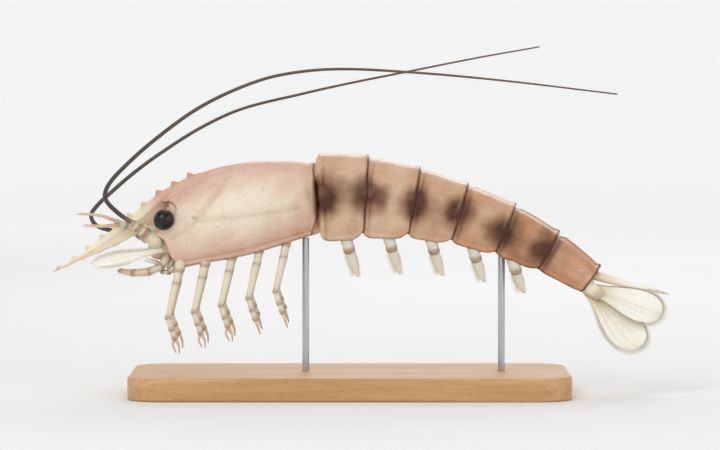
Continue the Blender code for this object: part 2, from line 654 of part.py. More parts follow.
def build_fan(name, side, body):
    """The two blades of one side, spread under the telson like a roof's slope."""
    root = on_side(FAN_ROOT, side)
    telson = Vector((TELSON_TIP[0] - TELSON_ROOT[0], 0, TELSON_TIP[1] - TELSON_ROOT[1])).normalized()
    lowest = (on_side(FAN_BLADES[1][1], side) - root).normalized()
    plane = telson.cross(lowest).normalized() * side
    blades = []
    for part, tip_place, width, layer in FAN_BLADES:
        tip = on_side(tip_place, side)
        shift = plane * layer
        across = (tip - root).normalized().cross(plane) * side
        outline = leaf_outline((tip - root).length, width, 8)
        mesh = sheet(outline, BLADE_THICKNESS, blade_frame(root + shift, tip + shift, across))
        blades.append(new_node(f"uropod_{part}_{name}", mesh, root, "fan", body))
    return blades


# ---------------------------------------------------------------- the stand

def build_base(stand):
    length, width, height = BASE_SIZE
    outline = []
    for k in range(BASE_POINTS):
        angle = math.tau * (k + 0.5) / BASE_POINTS
        corner_x = math.copysign(length / 2 - BASE_CORNER, math.cos(angle))
        corner_y = math.copysign(width / 2 - BASE_CORNER, math.sin(angle))
        turn_x, turn_y = BASE_CORNER * math.cos(angle), BASE_CORNER * math.sin(angle)
        outline.append((corner_x + turn_x, corner_y + turn_y))
    mesh = sheet(outline, height, Matrix.Translation((0, 0, height / 2 * MM)))
    base = new_node("stand_base", mesh, (0, 0, 0), "beech", stand)
    bevel = base.modifiers.new("eased edges", "BEVEL")
    bevel.width = BASE_EDGE * MM
    bevel.segments = 1
    bevel.limit_method = "ANGLE"
    bevel.angle_limit = math.radians(60)
    return base


def cylinder(x, radius, low, high):
    """An upright cylinder's mesh over the base's middle line, from one height to another."""
    form = bmesh.new()
    bmesh.ops.create_cone(form, cap_ends=True, segments=ROD_SIDES, radius1=radius * MM, radius2=radius * MM,
                          depth=(high - low) * MM)
    bmesh.ops.translate(form, vec=Vector((x, 0, (low + high) / 2)) * MM, verts=form.verts)
    mesh = bpy.data.meshes.new("cylinder")
    form.to_mesh(mesh)
    form.free()
    return mesh


def build_rod(name, x, top, stand, base):
    """A steel rod from its seat in the base up to the body."""
    base_top = BASE_SIZE[2]
    seat_floor = base_top - ROD_SEAT
    hollow = cylinder(x, ROD_RADIUS + GAP, seat_floor, base_top + 1)
    seat = helper(bpy.data.objects.new(f"stand_seat_{name}", hollow))
    combine(base, seat, "DIFFERENCE")
    rod = cylinder(x, ROD_RADIUS, seat_floor + GAP, top)
    return new_node(f"stand_rod_{name}", rod, (x, 0, base_top), "steel", stand)


# ---------------------------------------------------------------- everything together

def build_animal(body):
    carapace = build_carapace(body)
    nodes = {"carapace": carapace, "thorax": build_thorax(body)}
    for index in range(len(PLATE_EDGES) - 1):
        nodes[f"abdomen_{index + 1}"] = build_plate(index, body)
    rostrum, head, mouth = build_rostrum(body), build_head(body), build_mouth(body)
    telson = build_telson(body)
    last_plate = nodes[f"abdomen_{len(PLATE_EDGES) - 1}"]
    trim(rostrum, carapace)
    trim(telson, last_plate)
    trim(mouth, carapace, nodes["thorax"], head)
    trim(head, carapace, nodes["thorax"])
    for name, side in SIDES:
        eye, stalk = build_eye(name, side, body), build_stalk(name, side, body)
        antennule = build_antennule(name, side, body)
        peduncle, whips = build_antenna(name, side, body)
        scale, maxilliped = build_scale(name, side, body), build_maxilliped(name, side, body)
        trim(carapace, eye)
        trim(head, eye)
        trim(stalk, eye, head, carapace, rostrum)
        trim(antennule, head, carapace, rostrum, stalk)
        trim(peduncle, head, carapace, antennule)
        trim(scale, head, carapace, peduncle)
        trim(maxilliped, head, carapace, mouth, scale)
        trim(whips[0], peduncle)
        for pair in range(len(LEG_TOPS)):
            trim(build_leg(pair, name, side, body), nodes["thorax"], carapace)
        for pair in range(len(SWIMMERETS)):
            trim(build_swimmeret(pair, name, side, body), nodes[f"abdomen_{pair + 1}"])
        for blade in build_fan(name, side, body):
            trim(blade, last_plate, telson)
    return nodes


clear_scene()
MODEL = new_collection("shrimp")
CUTTERS = new_collection("cutters")
animal = new_empty("animal", body_point(0, 0, 0))
stand_root = new_empty("stand", (0, 0, 0))
body_nodes = build_animal(animal)
stand_base = build_base(stand_root)
for rod_name, rod_x, rod_top, held in RODS:
    trim(build_rod(rod_name, rod_x, rod_top, stand_root, stand_base), body_nodes[held])
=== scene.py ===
"""The looks of a life-size prawn on a display stand, built around its solids.

Run it as a script. It is laid out as an add-on: each operator makes one piece or one group of like pieces.
The head points along -X, the animal's left side faces -Y and the base stands on Z = 0. Sizes and places are
in millimetres, and MM turns them into Blender's metres.

The body's long axis is an arc of a circle. A place on the body is given by s, the length along that arc (0
over the stand's middle, growing towards the tail), y across the body, and u outwards from the arc. On a
plate, t runs down the flank from the middle of the back (0) to the lower edge (1).
"""

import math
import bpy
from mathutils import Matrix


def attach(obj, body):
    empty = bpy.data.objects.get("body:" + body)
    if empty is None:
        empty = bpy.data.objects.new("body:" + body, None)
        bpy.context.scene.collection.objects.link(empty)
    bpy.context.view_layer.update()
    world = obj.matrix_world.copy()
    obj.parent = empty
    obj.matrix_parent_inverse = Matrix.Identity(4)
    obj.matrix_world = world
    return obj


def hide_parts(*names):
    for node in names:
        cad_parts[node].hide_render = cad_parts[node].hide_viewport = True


bl_info = {
    "name": "Prawn Model",
    "version": (1, 0, 0),
    "blender": (4, 5, 0),
    "location": "3D View > Sidebar > Prawn",
    "description": "Builds the shell, limbs, tail fan, setae and stand of a life-size prawn model",
    "category": "Object",
}

from functools import partial
from itertools import product
from types import SimpleNamespace

import bmesh
import bpy
import numpy as np
from bpy.props import FloatProperty, FloatVectorProperty, PointerProperty
from mathutils import Vector

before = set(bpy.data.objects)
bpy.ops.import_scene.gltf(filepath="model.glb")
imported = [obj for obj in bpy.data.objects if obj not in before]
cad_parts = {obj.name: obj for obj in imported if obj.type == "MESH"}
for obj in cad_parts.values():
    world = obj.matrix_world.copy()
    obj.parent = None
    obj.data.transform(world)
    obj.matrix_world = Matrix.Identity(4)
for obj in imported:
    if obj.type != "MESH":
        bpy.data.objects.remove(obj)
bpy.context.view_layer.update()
MM = 0.001
SIDES = (("left", -1), ("right", 1))
MARKS = ("warm", "dark")  # a mesh's two marks, which its material reads

# -------------------- sizes in mm, nearly all the same as the solids'

ARC_RADIUS, ARC_TOP = 107.2, (-2.5, 51.4)  # the arc of the back, and x and z of its highest point

# The carapace's half depth and half width along the arc, and its front edge down the flank
CARAPACE_DEPTH = ((-48.5, 8.7), (-40, 10.1), (-33, 11.3), (-26, 11.6), (-18, 11), (-6, 8.9))
CARAPACE_WIDTH = ((-48.5, 5.2), (-40, 7.4), (-33, 8.7), (-26, 9.3), (-18, 9.2), (-6, 8.4))
CARAPACE_FRONT = ((0, -44.4), (0.12, -44.1), (0.2, -42.2), (0.36, -42.2), (0.46, -48.6), (0.58, -47.6),
                  (0.8, -47.8), (1, -46.6))
CARAPACE_REAR, CARAPACE_CORNER = -6.3, 1.6  # its rear edge, and how far that is rounded forward at the bottom
CARAPACE_EDGE = (0.66, 0.8)  # share of the half width at the lower edge, and how full the flank is

# The edges of the tail's six plates along the arc, with the body's half depth and half width there
PLATE_EDGES = (-6, 6, 18.6, 30.7, 43.2, 55.7, 69.6)
BODY_DEPTH = tuple(zip(PLATE_EDGES, (11.6, 10.7, 9.3, 8, 6.9, 5.6, 3.8)))
BODY_WIDTH = tuple(zip(PLATE_EDGES, (9, 8.8, 8.2, 7.4, 6.6, 5.6, 4.2)))
PLATE_EDGE = (0.74, 1.2)  # as CARAPACE_EDGE
PLATE_STEP = 0.35  # a plate's rear edge stands this far outside the next plate
SHOULDER_LENGTH = 2.4  # over which the first plate swells out from under the carapace

# The rostrum's upper edge as x and z, and its slopes at both ends in degrees
ROSTRUM_ROOT, ROSTRUM_TIP, ROSTRUM_SLOPES = (-47.6, 52.1), (-77.5, 31.8), (24, 27)
ROSTRUM_DEPTH, ROSTRUM_THICKNESS = 4.9, (3.2, 1)  # thickness at the root and the tip

EYE_PLACE, EYE_RADIUS, STALK_ROOT = (-48.1, 6, 45.6), 2.73, (-50.2, 1.7, 45.3)
HEAD_SHAPE = ((-42, -0.6, 4, 4.8), (-45.2, -0.8, 4.2, 4.9), (-47, -1.6, 4.1, 5),
              (-48.8, -2, 3.6, 4.2), (-50.2, -2.4, 2.6, 2.9))  # s, middle, half width and depth

ANTENNULE_ROOT, ANTENNULE_ELBOW = (-49, 2.5, 42.4), (-60.2, 2.7, 44.4)
ANTENNULE_TIPS = ((-70.7, 3.7, 46.9), (-69.4, 4.7, 43.9))
SCALE_ROOT, SCALE_TIP, SCALE_WIDTH = (-48.6, 4.6, 37.9), (-66.2, 7.4, 34.3), 5.8
SCALE_TILT = 38  # degrees that the antennal scale's outer edge drops from level
MAXILLIPED_ROUTE = ((-47.6, 2.4, 35.6), (-49, 3, 33.4), (-52.2, 3.7, 31.9), (-56.4, 3.8, 31.6),
                    (-59.9, 3.6, 32.2))
ANTENNA_ROOT = (-50.2, 3.7, 39.7)
ANTENNA_ROUTES = {
    "left": ((-56.2, 5.6, 44.7), (-60.2, 8.2, 47.8), (-62.9, 11.5, 51.4), (-61.9, 13.6, 54.9),
             (-57.2, 15.6, 60.1), (-49.4, 17.6, 66.9), (-39, 19.4, 74.4), (-28.6, 20.8, 79.6),
             (-18.2, 21.8, 83), (-4, 22.8, 84.6), (15.6, 24, 83.8), (39, 25.2, 81.7),
             (67.6, 26.6, 78.3)),
    "right": ((-56.4, 5.6, 41.8), (-62.2, 8, 42.2), (-66.6, 11, 43.4), (-68.2, 13.2, 46),
              (-66.3, 14.6, 48.9), (-63, 15.6, 52), (-57.2, 16.8, 57), (-49.4, 18, 62.7),
              (-39, 19.2, 69.2), (-28.6, 20.2, 73.9), (-13, 21.4, 77.8), (0, 22.2, 80.7),
              (15.6, 23, 83.8), (33.8, 24, 87.4), (50.2, 25, 90.3)),
}

# Where the five pairs of walking legs leave the body, as x and z, and each leg's bends from there
LEG_TOPS = ((-43.9, 34.6), (-37.2, 36), (-30.2, 37.7), (-23.1, 39.6), (-16.1, 41.4))
LEG_BENDS = ((0, 3.9, 0), (-0.5, 4.8, -2.4), (-1.2, 6.2, -5.8), (-3.1, 9, -14.2), (-2.1, 9.4, -17.2),
             (-1.3, 9.7, -19.4), (0, 10, -23.3))
CLAWED_PAIRS = 3
FINGER_BENDS = ((-1.3, 9.7, -19.4), (-1.75, 9.75, -21.2), (-0.95, 9.95, -23.1))

SWIMMERETS = ((1.2, 9.6), (13.2, 9.4), (25.1, 9.1), (37, 8.7), (48.6, 8.3))  # place along the arc, length
SWIMMERET_LEAN = 15  # degrees that they trail
SWIMMERET_ROOT = (0.60, -0.84)  # across and up, as shares of the body's half width and half depth

TELSON_ROOT, TELSON_TIP = (62.4, 31.2), (82.8, 26.1)  # x and z
TELSON_SHAPE = ((0, 1.5, 2.6), (0.25, 1.5, 2.7), (0.6, 1.15, 1.9), (0.85, 0.75, 1), (1, 0.35, 0.4))
FAN_ROOT = (61.8, 2, 28)
# The fan's blades: tip, width (the solids' and 1 mm), and how far each lies off the plane of the fan
FAN_BLADES = (("endopod", (80.7, 5, 21.4), 9.6, 0), ("exopod", (75.4, 8.4, 13.6), 10.4, -1.3))

BASE_SIZE, BASE_CORNER, BASE_EDGE = (114, 52, 6), 9, 0.8  # radius of its corners, and of its edges
ROD_RADIUS, ROD_SEAT = 0.9, 3.5  # and how deep the holes for the rods are
RODS = (("front", -11.5, 40.7), ("rear", 39.4, 37.6))  # place along X, and top


def linear(hex_colour):
    """An sRGB hex colour as linear red, green and blue."""
    values = [int(hex_colour[k:k + 2], 16) / 255 for k in (0, 2, 4)]
    return tuple(v / 12.92 if v <= 0.04045 else ((v + 0.055) / 1.055) ** 2.4 for v in values)


# -------------------- settings that a user would change

def length_setting(name, description, default):
    """A setting for a size in metres, from its default in millimetres."""
    return FloatProperty(name=name, description=description, default=default * MM, min=0.0, unit="LENGTH",
                         precision=5)


def colour_setting(name, description, hex_colour):
    return FloatVectorProperty(name=name, description=description, default=linear(hex_colour), min=0.0,
                               max=1.0, subtype="COLOR")


class PrawnSizes(bpy.types.PropertyGroup):
    """Sizes of the fine shape, which the solids leave plain."""

    shell: length_setting("Shell thickness", "Thickness of the shell plates at their edges", 0.38)
    overlap: length_setting("Plate overlap", "How far each tail plate reaches over the next", 0.7)
    groove: length_setting("Groove depth", "Depth of the deepest groove of the carapace", 0.42)
    tooth: length_setting("Rostrum tooth height", "Height of the first tooth of the rostrum", 0.8)
    ring: length_setting("Whip ring length", "Length of one ring of an antenna", 0.8)
    facet: length_setting("Eye facet size", "Width of one facet of the eyes", 0.13)
    seta: length_setting("Seta length", "Length of the longest setae round the tail fan", 1.7)
    seta_gap: length_setting("Seta spacing", "Distance between neighbouring setae", 0.11)


class PrawnColours(bpy.types.PropertyGroup):
    """Colours of the animal and its stand."""

    cream: colour_setting("Shell cream", "The middle of the carapace", "E3D7C2")
    pink: colour_setting("Shell pink", "The margins of the carapace", "D6A390")
    tan: colour_setting("Tail tan", "The back and the lower edge of the tail", "C68E6E")
    blotch: colour_setting("Tail blotch", "The dark blotches along the tail", "4A2002")
    limb: colour_setting("Limb", "Legs, feelers' stems and swimming legs", "DDD3BC")
    joint: colour_setting("Limb joint", "Joints and tips of the limbs", "9B7257")
    fan: colour_setting("Tail fan", "Tail fan and antennal scales", "F8F4E8")
    bone: colour_setting("Rostrum", "The rostrum", "EFE6CB")
    skin: colour_setting("Skin", "Soft skin of the underside and the head", "DDB9A2")
    eye: colour_setting("Eye", "The cornea", "0E0D11")
    whip: colour_setting("Whip", "The long antennae", "4B4541")
    seta: colour_setting("Seta", "The setae", "DACBB2")
    beech: colour_setting("Beech", "The base of the stand", "D2A878")
    steel: colour_setting("Steel", "The rods of the stand", "B9BCC0")


class PrawnStage(bpy.types.PropertyGroup):
    """Camera and studio."""

    elevation: FloatProperty(name="Camera elevation", description="How far the camera looks down",
                             default=math.radians(2.5), subtype="ANGLE")
    distance: length_setting("Camera distance", "From the camera to the middle of the view", 1040.0)
    width: length_setting("View width", "Width of what the camera sees at the animal", 187.2)
    key: FloatProperty(name="Key light", description="Power of the large light above the camera's left",
                       default=2.5, min=0.0, unit="POWER")
    backdrop: colour_setting("Backdrop", "Floor and backdrop", "F3F3F3")


# -------------------- numbers and places

def value_at(stations, places):
    """Smooth values between stations of (place, value), by Hermite curves with the neighbours' slopes."""
    xs, ys = np.array(stations, float).T
    places = np.clip(places, xs[0], xs[-1])
    i = np.clip(np.searchsorted(xs, places, side="right") - 1, 0, len(xs) - 2)
    before, after = np.maximum(np.arange(len(xs)) - 1, 0), np.minimum(np.arange(len(xs)) + 1, len(xs) - 1)
    slopes = (ys[after] - ys[before]) / (xs[after] - xs[before])
    span = xs[i + 1] - xs[i]
    t = (places - xs[i]) / span
    rise = 3 * t ** 2 - 2 * t ** 3
    bend = slopes[i] * t * (1 - t) ** 2 - slopes[i + 1] * t ** 2 * (1 - t)
    return ys[i] * (1 - rise) + ys[i + 1] * rise + span * bend


def smooth_step(t):
    t = np.clip(t, 0.0, 1.0)
    return t * t * (3 - 2 * t)


def hump(distance, width):
    """1 at no distance, falling smoothly to almost 0 at twice the width."""
    return np.exp(-(distance / width) ** 2)


def unit(vectors):
    vectors = np.asarray(vectors, float)
    return vectors / np.maximum(np.linalg.norm(vectors, axis=-1, keepdims=True), 1e-9)


def on_side(points, side):
    """A point or points given for the right side, on the side that is -1 for left and 1 for right."""
    return np.array(points, float) * (1, side, 1)


def body_points(s, y, u):
    """Points at s along the body's arc, y across it and u outwards from it."""
    s, y, u = np.broadcast_arrays(np.asarray(s, float), y, u)
    angle, reach = s / ARC_RADIUS, ARC_RADIUS + u
    x, z = ARC_TOP[0] + reach * np.sin(angle), ARC_TOP[1] - ARC_RADIUS + reach * np.cos(angle)
    return np.stack((x, y, z), -1)


def body_places(points):
    """The s and u of points, the other way round from body_points."""
    x, z = points[..., 0] - ARC_TOP[0], points[..., 2] - ARC_TOP[1] + ARC_RADIUS
    return np.arctan2(x, z) * ARC_RADIUS, np.hypot(x, z) - ARC_RADIUS


def flank(t, edge):
    """Share of the half width and half depth at t down the flank."""
    lower_edge, fullness = edge
    last = math.pi - math.asin(lower_edge)
    angle = t * last
    return np.sin(angle), 1 - 2 * ((1 - np.cos(angle)) / (1 - math.cos(last))) ** fullness


def sizes_at(stations, places):
    """Smooth pairs of sizes between stations of (place, size, size)."""
    places_and_sizes = np.array(stations, float)
    return np.stack([value_at(places_and_sizes[:, [0, k]], places) for k in (1, 2)], -1)


def body_sizes(s):
    """The tail's half width and half depth at s along the arc."""
    return value_at(BODY_WIDTH, s), value_at(BODY_DEPTH, s)


def route_points(route, count):
    """Points evenly spaced along a smooth curve through the given ones."""
    route = np.array(route, float)
    along = np.concatenate(([0.0], np.cumsum(np.linalg.norm(np.diff(route, axis=0), axis=1))))
    places = np.linspace(0, along[-1], count)
    return np.stack([value_at(np.stack((along, route[:, axis]), 1), places) for axis in range(3)], -1)


def grain(points, size, seed=0):
    """Soft random-looking numbers from -1 to 1 at points, with lumps of about the given size."""
    rng = np.random.default_rng(seed)
    total = np.zeros(points.shape[:-1])
    for _ in range(6):
        wave = unit(rng.normal(size=3)) * math.tau / (size * rng.uniform(1.6, 3.0))
        total += np.sin(points @ wave + rng.uniform(0, math.tau))
    return total / 4


# -------------------- shapes

class Shape:
    """The points and faces of one piece as they are gathered, with the marks that its material reads.

    The marks are numbers at each point: warm goes from the light to the warm colour, and dark adds pigment.
    """

    def __init__(self):
        self.points, self.faces, self.warm, self.dark, self.places, self.count = [], [], [], [], [], 0

    def add(self, points, faces, warm=0.0, dark=0.0):
        """Adds points, given as a grid or a list, and faces as arrays of their corners' numbers."""
        for corners in faces:
            self.faces.append(corners + self.count)
        self.points.append(points.reshape(-1, 3))
        for kept, mark in ((self.warm, warm), (self.dark, dark)):
            kept.append(np.broadcast_to(mark, points.shape[:-1]).ravel())
        self.count += self.points[-1].shape[0]


def lattice(rows, columns, wrap=False):
    """The corners of a grid's quads. Wrap joins its last column to its first."""
    i = np.arange(rows - 1)[:, None] * columns
    j = np.arange(columns if wrap else columns - 1)[None, :]
    after = (j + 1) % columns
    corners = np.broadcast_arrays(i + j, i + after, i + columns + after, i + columns + j)
    return np.stack(corners, -1).reshape(-1, 4)


def fan_of(middle, ring):
    """Triangles from one point to each edge of a ring."""
    return np.stack((np.full(len(ring), middle), ring, np.roll(ring, -1)), -1)


def normals_of(grid):
    """The directions in which a grid of points faces, away from the middle of it."""
    normals = unit(np.cross(np.gradient(grid, axis=0), np.gradient(grid, axis=1)))
    outwards = (normals * (grid - grid.mean((0, 1)))).sum()
    return normals if outwards > 0 else -normals


SHELL_RIM = 8  # rows of quads of the inner face that are made along each edge


def add_shell(shape, grid, thickness, warm, dark):
    """Adds a thin curved plate from the grid of its outer face: a round edge, and an inner face near it."""
    rows, columns = grid.shape[:2]
    number = np.arange(rows * columns).reshape(rows, columns)
    border = np.concatenate((number[0, :-1], number[:-1, -1], number[-1, :0:-1], number[:0:-1, 0]))
    inside = np.concatenate((number[1, :-1], number[:-1, -2], number[-2, :0:-1], number[:0:-1, 1]))
    outer = grid.reshape(-1, 3)
    inner = outer - normals_of(grid).reshape(-1, 3) * thickness
    turn = unit(outer[border] - outer[inside]) * thickness * 0.45
    bead = (outer[border] + inner[border]) / 2 + turn
    faces = lattice(rows, columns)
    i, j = np.divmod(faces[:, 0], columns)
    near = np.minimum(np.minimum(i, rows - 2 - i), np.minimum(j, columns - 2 - j)) < SHELL_RIM
    size, loop = rows * columns, np.arange(len(border))
    after = (loop + 1) % len(border)
    middle = 2 * size + loop
    strips = (
        np.stack((border, border[after], middle[after], middle), -1),
        np.stack((middle, middle[after], border[after] + size, border + size), -1),
    )
    marks = []
    for mark in (warm, dark):
        mark = np.broadcast_to(mark, grid.shape[:-1]).ravel()
        marks.append(np.concatenate((mark, mark, mark[border])))
    shape.add(np.concatenate((outer, inner, bead)), (faces, faces[near][:, ::-1] + size, *strips), *marks)


def frames_along(path, up):
    """Unit vectors along a path, and two across it that don't twist, the first starting nearest to up."""
    way = unit(np.gradient(path, axis=0))
    normals = [unit(np.array(up) - way[0] * (way[0] @ up))]
    for direction in way[1:]:
        normals.append(unit(normals[-1] - direction * (normals[-1] @ direction)))
    normals = np.array(normals)
    return way, normals, np.cross(way, normals)


BLUNT_TURNS = np.radians((25, 48, 68, 82))  # places of the rings that round a tube's end


def add_closed(shape, grid, warm=0.0, dark=0.0):
    """Adds a closed form from rows of points that run round it. Each end is closed to its row's middle."""
    rows, count = grid.shape[:2]
    points = np.concatenate((grid.reshape(-1, 3), grid[0].mean(0)[None], grid[-1].mean(0)[None]))
    marks = []
    for mark in (warm, dark):
        mark = np.broadcast_to(mark, (rows, count))
        marks.append(np.concatenate((mark.ravel(), (mark[0].mean(), mark[-1].mean()))))
    first, last = np.arange(count)[::-1], np.arange(count) + (rows - 1) * count
    faces = lattice(rows, count, wrap=True), fan_of(rows * count, first), fan_of(rows * count + 1, last)
    shape.add(points, faces, *marks)


def round_end(path, sizes, marks, end):
    """A tube's path, sizes and marks with the rings added that round its first end (0) or its last (-1)."""
    steps = np.gradient(path, axis=0)
    out = unit(-steps[0] if end == 0 else steps[-1])
    places = path[end] + out * sizes[end].mean() * np.sin(BLUNT_TURNS)[:, None]
    rings = sizes[end] * np.cos(BLUNT_TURNS)[:, None]
    same = [np.full(len(BLUNT_TURNS), mark[end]) for mark in marks]
    if end == 0:
        return (np.concatenate((places[::-1], path)), np.concatenate((rings[::-1], sizes)),
                [np.concatenate(pair) for pair in zip(same, marks)])
    return (np.concatenate((path, places)), np.concatenate((sizes, rings)),
            [np.concatenate(pair) for pair in zip(marks, same)])


def add_tube(shape, path, sizes, sides=16, up=(0, 0, 1), blunt=(True, True), warm=0.0, dark=0.0, ridges=0.0):
    """Adds a closed tube along a path. Sizes are its half widths, or pairs of them along up and across it.

    Blunt rounds its two ends. Ridges raises the tube along up and opposite it, as on a keel, or grooves it
    there if it is below 0.
    """
    path, sizes = np.asarray(path, float), np.asarray(sizes, float)
    sizes = np.stack((sizes, sizes), -1) if sizes.ndim == 1 else sizes
    marks = [np.broadcast_to(mark, len(path)) for mark in (warm, dark)]
    for end in (0, -1):
        if blunt[end]:
            path, sizes, marks = round_end(path, sizes, marks, end)
    _, normal, across = frames_along(path, up)
    angle = np.arange(sides) * math.tau / sides
    high, wide = np.cos(angle) * (1 + ridges * np.cos(angle) ** 8), np.sin(angle)
    grid = (path[:, None] + normal[:, None] * (sizes[:, :1] * high)[..., None]
            + across[:, None] * (sizes[:, 1:] * wide)[..., None])
    add_closed(shape, grid, *[mark[:, None] for mark in marks])


# Rings along one length of a limb, closer together at its joints
JOINT_SHARES = np.concatenate((np.linspace(0, 0.2, 7), np.linspace(0.25, 0.75, 8), np.linspace(0.8, 1, 7)))


def add_joint_piece(shape, start, end, sizes, sides=14, up=(0, 1, 0), bulge=0.12, joint=0.75, warm=0.0):
    """Adds one length of a jointed limb from start to end, swollen at both ends and darker at its far joint.

    Sizes are the half widths at the two ends, each a number or a pair.
    """
    start, end = np.asarray(start, float), np.asarray(end, float)
    length = np.linalg.norm(end - start)
    near, far = JOINT_SHARES * length, (1 - JOINT_SHARES) * length
    first, last = np.broadcast_to(sizes[0], 2), np.broadcast_to(sizes[1], 2)
    swell = 1 + bulge * (hump(near, 0.55) * 0.6 + hump(far, 0.6))
    rings = (first + (last - first) * smooth_step(JOINT_SHARES)[:, None]) * swell[:, None]
    dark = joint * hump(far, 0.7) + 0.3 * joint * hump(near, 0.5)
    add_tube(shape, start + (end - start) * JOINT_SHARES[:, None], rings, sides, up, warm=warm, dark=dark)


def add_blade(shape, origin, way, across, outline, camber, thickness, rows, columns, warm, dark):
    """Adds a closed leaf. Outline gives its two edges, camber its lift and thickness its half thickness.

    Outline takes places along it (0 to 1) and returns the length there and both edges. The other functions,
    with warm and dark for its marks, take the place along and the place across (-1 to 1).
    """
    along = np.sin(np.linspace(0, 1, rows) * math.pi / 2)[:, None]
    reach, low, high = outline(along)
    upper = np.cos(np.linspace(0, math.pi, columns))[None, :]
    lower = upper[:, -2:0:-1]
    places = np.concatenate((upper, lower), 1)
    face = np.concatenate((np.ones_like(upper), -np.ones_like(lower)), 1)
    width = low + (high - low) * (places + 1) / 2
    lift = camber(along, places) + face * thickness(along, places) * np.sqrt(np.maximum(1 - places ** 8, 0))
    grid = (origin + way * np.broadcast_to(reach, width.shape)[..., None] + across * width[..., None]
            + np.cross(way, across) * lift[..., None])
    add_closed(shape, grid, warm(along, places), dark(along, places))


SETA_POINTS = 10  # three rings of three, and a tip
SETA_SIDES = [[3 * k + j, 3 * k + (j + 1) % 3, 3 * k + 3 + (j + 1) % 3, 3 * k + 3 + j]
              for k in (0, 1) for j in range(3)]
SETA_ENDS = [[6 + j, 6 + (j + 1) % 3, 9] for j in range(3)] + [[2, 1, 0]]
SETA_TAPER = 0.28  # share of the radius lost from one ring to the next
MAP_STEP = 0.001  # how far apart the points of one seta lie on the map


def add_setae(shape, roots, ways, lengths, radius, sag, places):
    """Adds one thin bent spike for each root. Places are the roots on the map, from 0 to 1 both ways."""
    ways, lengths = unit(ways), np.broadcast_to(lengths, len(roots))[:, None]
    first = unit(np.cross(ways, (0.31, 0.23, 0.92)))
    second = np.cross(ways, first)
    rings, maps = [], []
    for k in range(3):
        share = k / 3
        middle = roots + ways * lengths * share + sag * lengths * share ** 2
        for j in range(3):
            turn = math.tau * j / 3
            spoke = first * math.cos(turn) + second * math.sin(turn)
            rings.append(middle + spoke * radius * (1 - SETA_TAPER * k))
            maps.append(places + np.array((k, j)) * MAP_STEP)
    rings.append(roots + (ways + sag) * lengths)
    maps.append(places + 3 * MAP_STEP)
    base = np.arange(len(roots))[:, None, None] * SETA_POINTS
    faces = [(np.array(corners) + base).reshape(-1, len(corners[0])) for corners in (SETA_SIDES, SETA_ENDS)]
    shape.add(np.stack(rings, 1), faces)
    shape.places.append(np.stack(maps, 1).reshape(-1, 2))


# -------------------- objects

def mesh_of(name, shape):
    """A shape as a mesh in metres, with its marks and, for setae, the map of their places."""
    mesh = bpy.data.meshes.new(name)
    faces = [face for corners in shape.faces for face in corners.tolist()]
    mesh.from_pydata((np.concatenate(shape.points) * MM).tolist(), [], faces)
    for mark, values in zip(MARKS, (shape.warm, shape.dark)):
        layer = mesh.attributes.new(mark, "FLOAT", "POINT")
        layer.data.foreach_set("value", np.concatenate(values).astype("f"))
    form = bmesh.new()
    form.from_mesh(mesh)
    bmesh.ops.recalc_face_normals(form, faces=form.faces)
    form.to_mesh(mesh)
    form.free()
    mesh.shade_smooth()
    if shape.places:
        corners = np.empty(len(mesh.loops), dtype=np.int32)
        mesh.loops.foreach_get("vertex_index", corners)
        places = np.concatenate(shape.places)[corners]
        mesh.uv_layers.new(name="OFBake").data.foreach_set("uv", places.ravel())
    return mesh


def put_in_scene(name, data):
    """A new object that shows the given mesh, light or camera."""
    placed = bpy.data.objects.new(name, data)
    bpy.context.scene.collection.objects.link(placed)
    return placed


def modified_mesh(source):
    """A new mesh of an object as its modifiers leave it."""
    bpy.context.view_layer.update()
    return bpy.data.meshes.new_from_object(source.evaluated_get(bpy.context.evaluated_depsgraph_get()))


def new_piece(name, form, material, slot, *replaces):
    """Shows a shape or a mesh as a piece of the model, in place of the solids that it stands for."""
    mesh = mesh_of(name, form) if isinstance(form, Shape) else form
    mesh.materials.append(material)
    piece = put_in_scene(name, mesh)
    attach(piece, "root")
    if replaces:
        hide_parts(*replaces)
    return piece


# -------------------- materials

def new_material(name):
    """An empty node material, and a function that adds a node to it."""
    material = bpy.data.materials.new(name)
    material.use_nodes = True
    material.node_tree.nodes.clear()
    return material, partial(add_node, material)


def add_node(material, kind, inputs=None, **settings):
    """Adds a shader node. Each input is given an output to link, a node whose output to link, or its value.

    Inputs are named or numbered. A Mix's 0 is the share of its second colour, and 6 and 7 are its colours. A
    Map Range's 1 and 2 are the ends that it reads, and 3 and 4 those that it gives.
    """
    node = material.node_tree.nodes.new("ShaderNode" + kind)
    for name, value in settings.items():
        setattr(node, name, value)
    for name, value in (inputs or {}).items():
        if isinstance(value, bpy.types.Node):
            value = next(output for output in value.outputs if output.enabled)
        if isinstance(value, bpy.types.NodeSocket):
            material.node_tree.links.new(value, node.inputs[name])
        else:
            node.inputs[name].default_value = value
    return node


def read_marks(node):
    """A surface's own coordinates, and its warm and dark marks."""
    marks = [node("Attribute", attribute_name=mark).outputs["Fac"] for mark in MARKS]
    return node("TexCoord").outputs["Object"], *marks


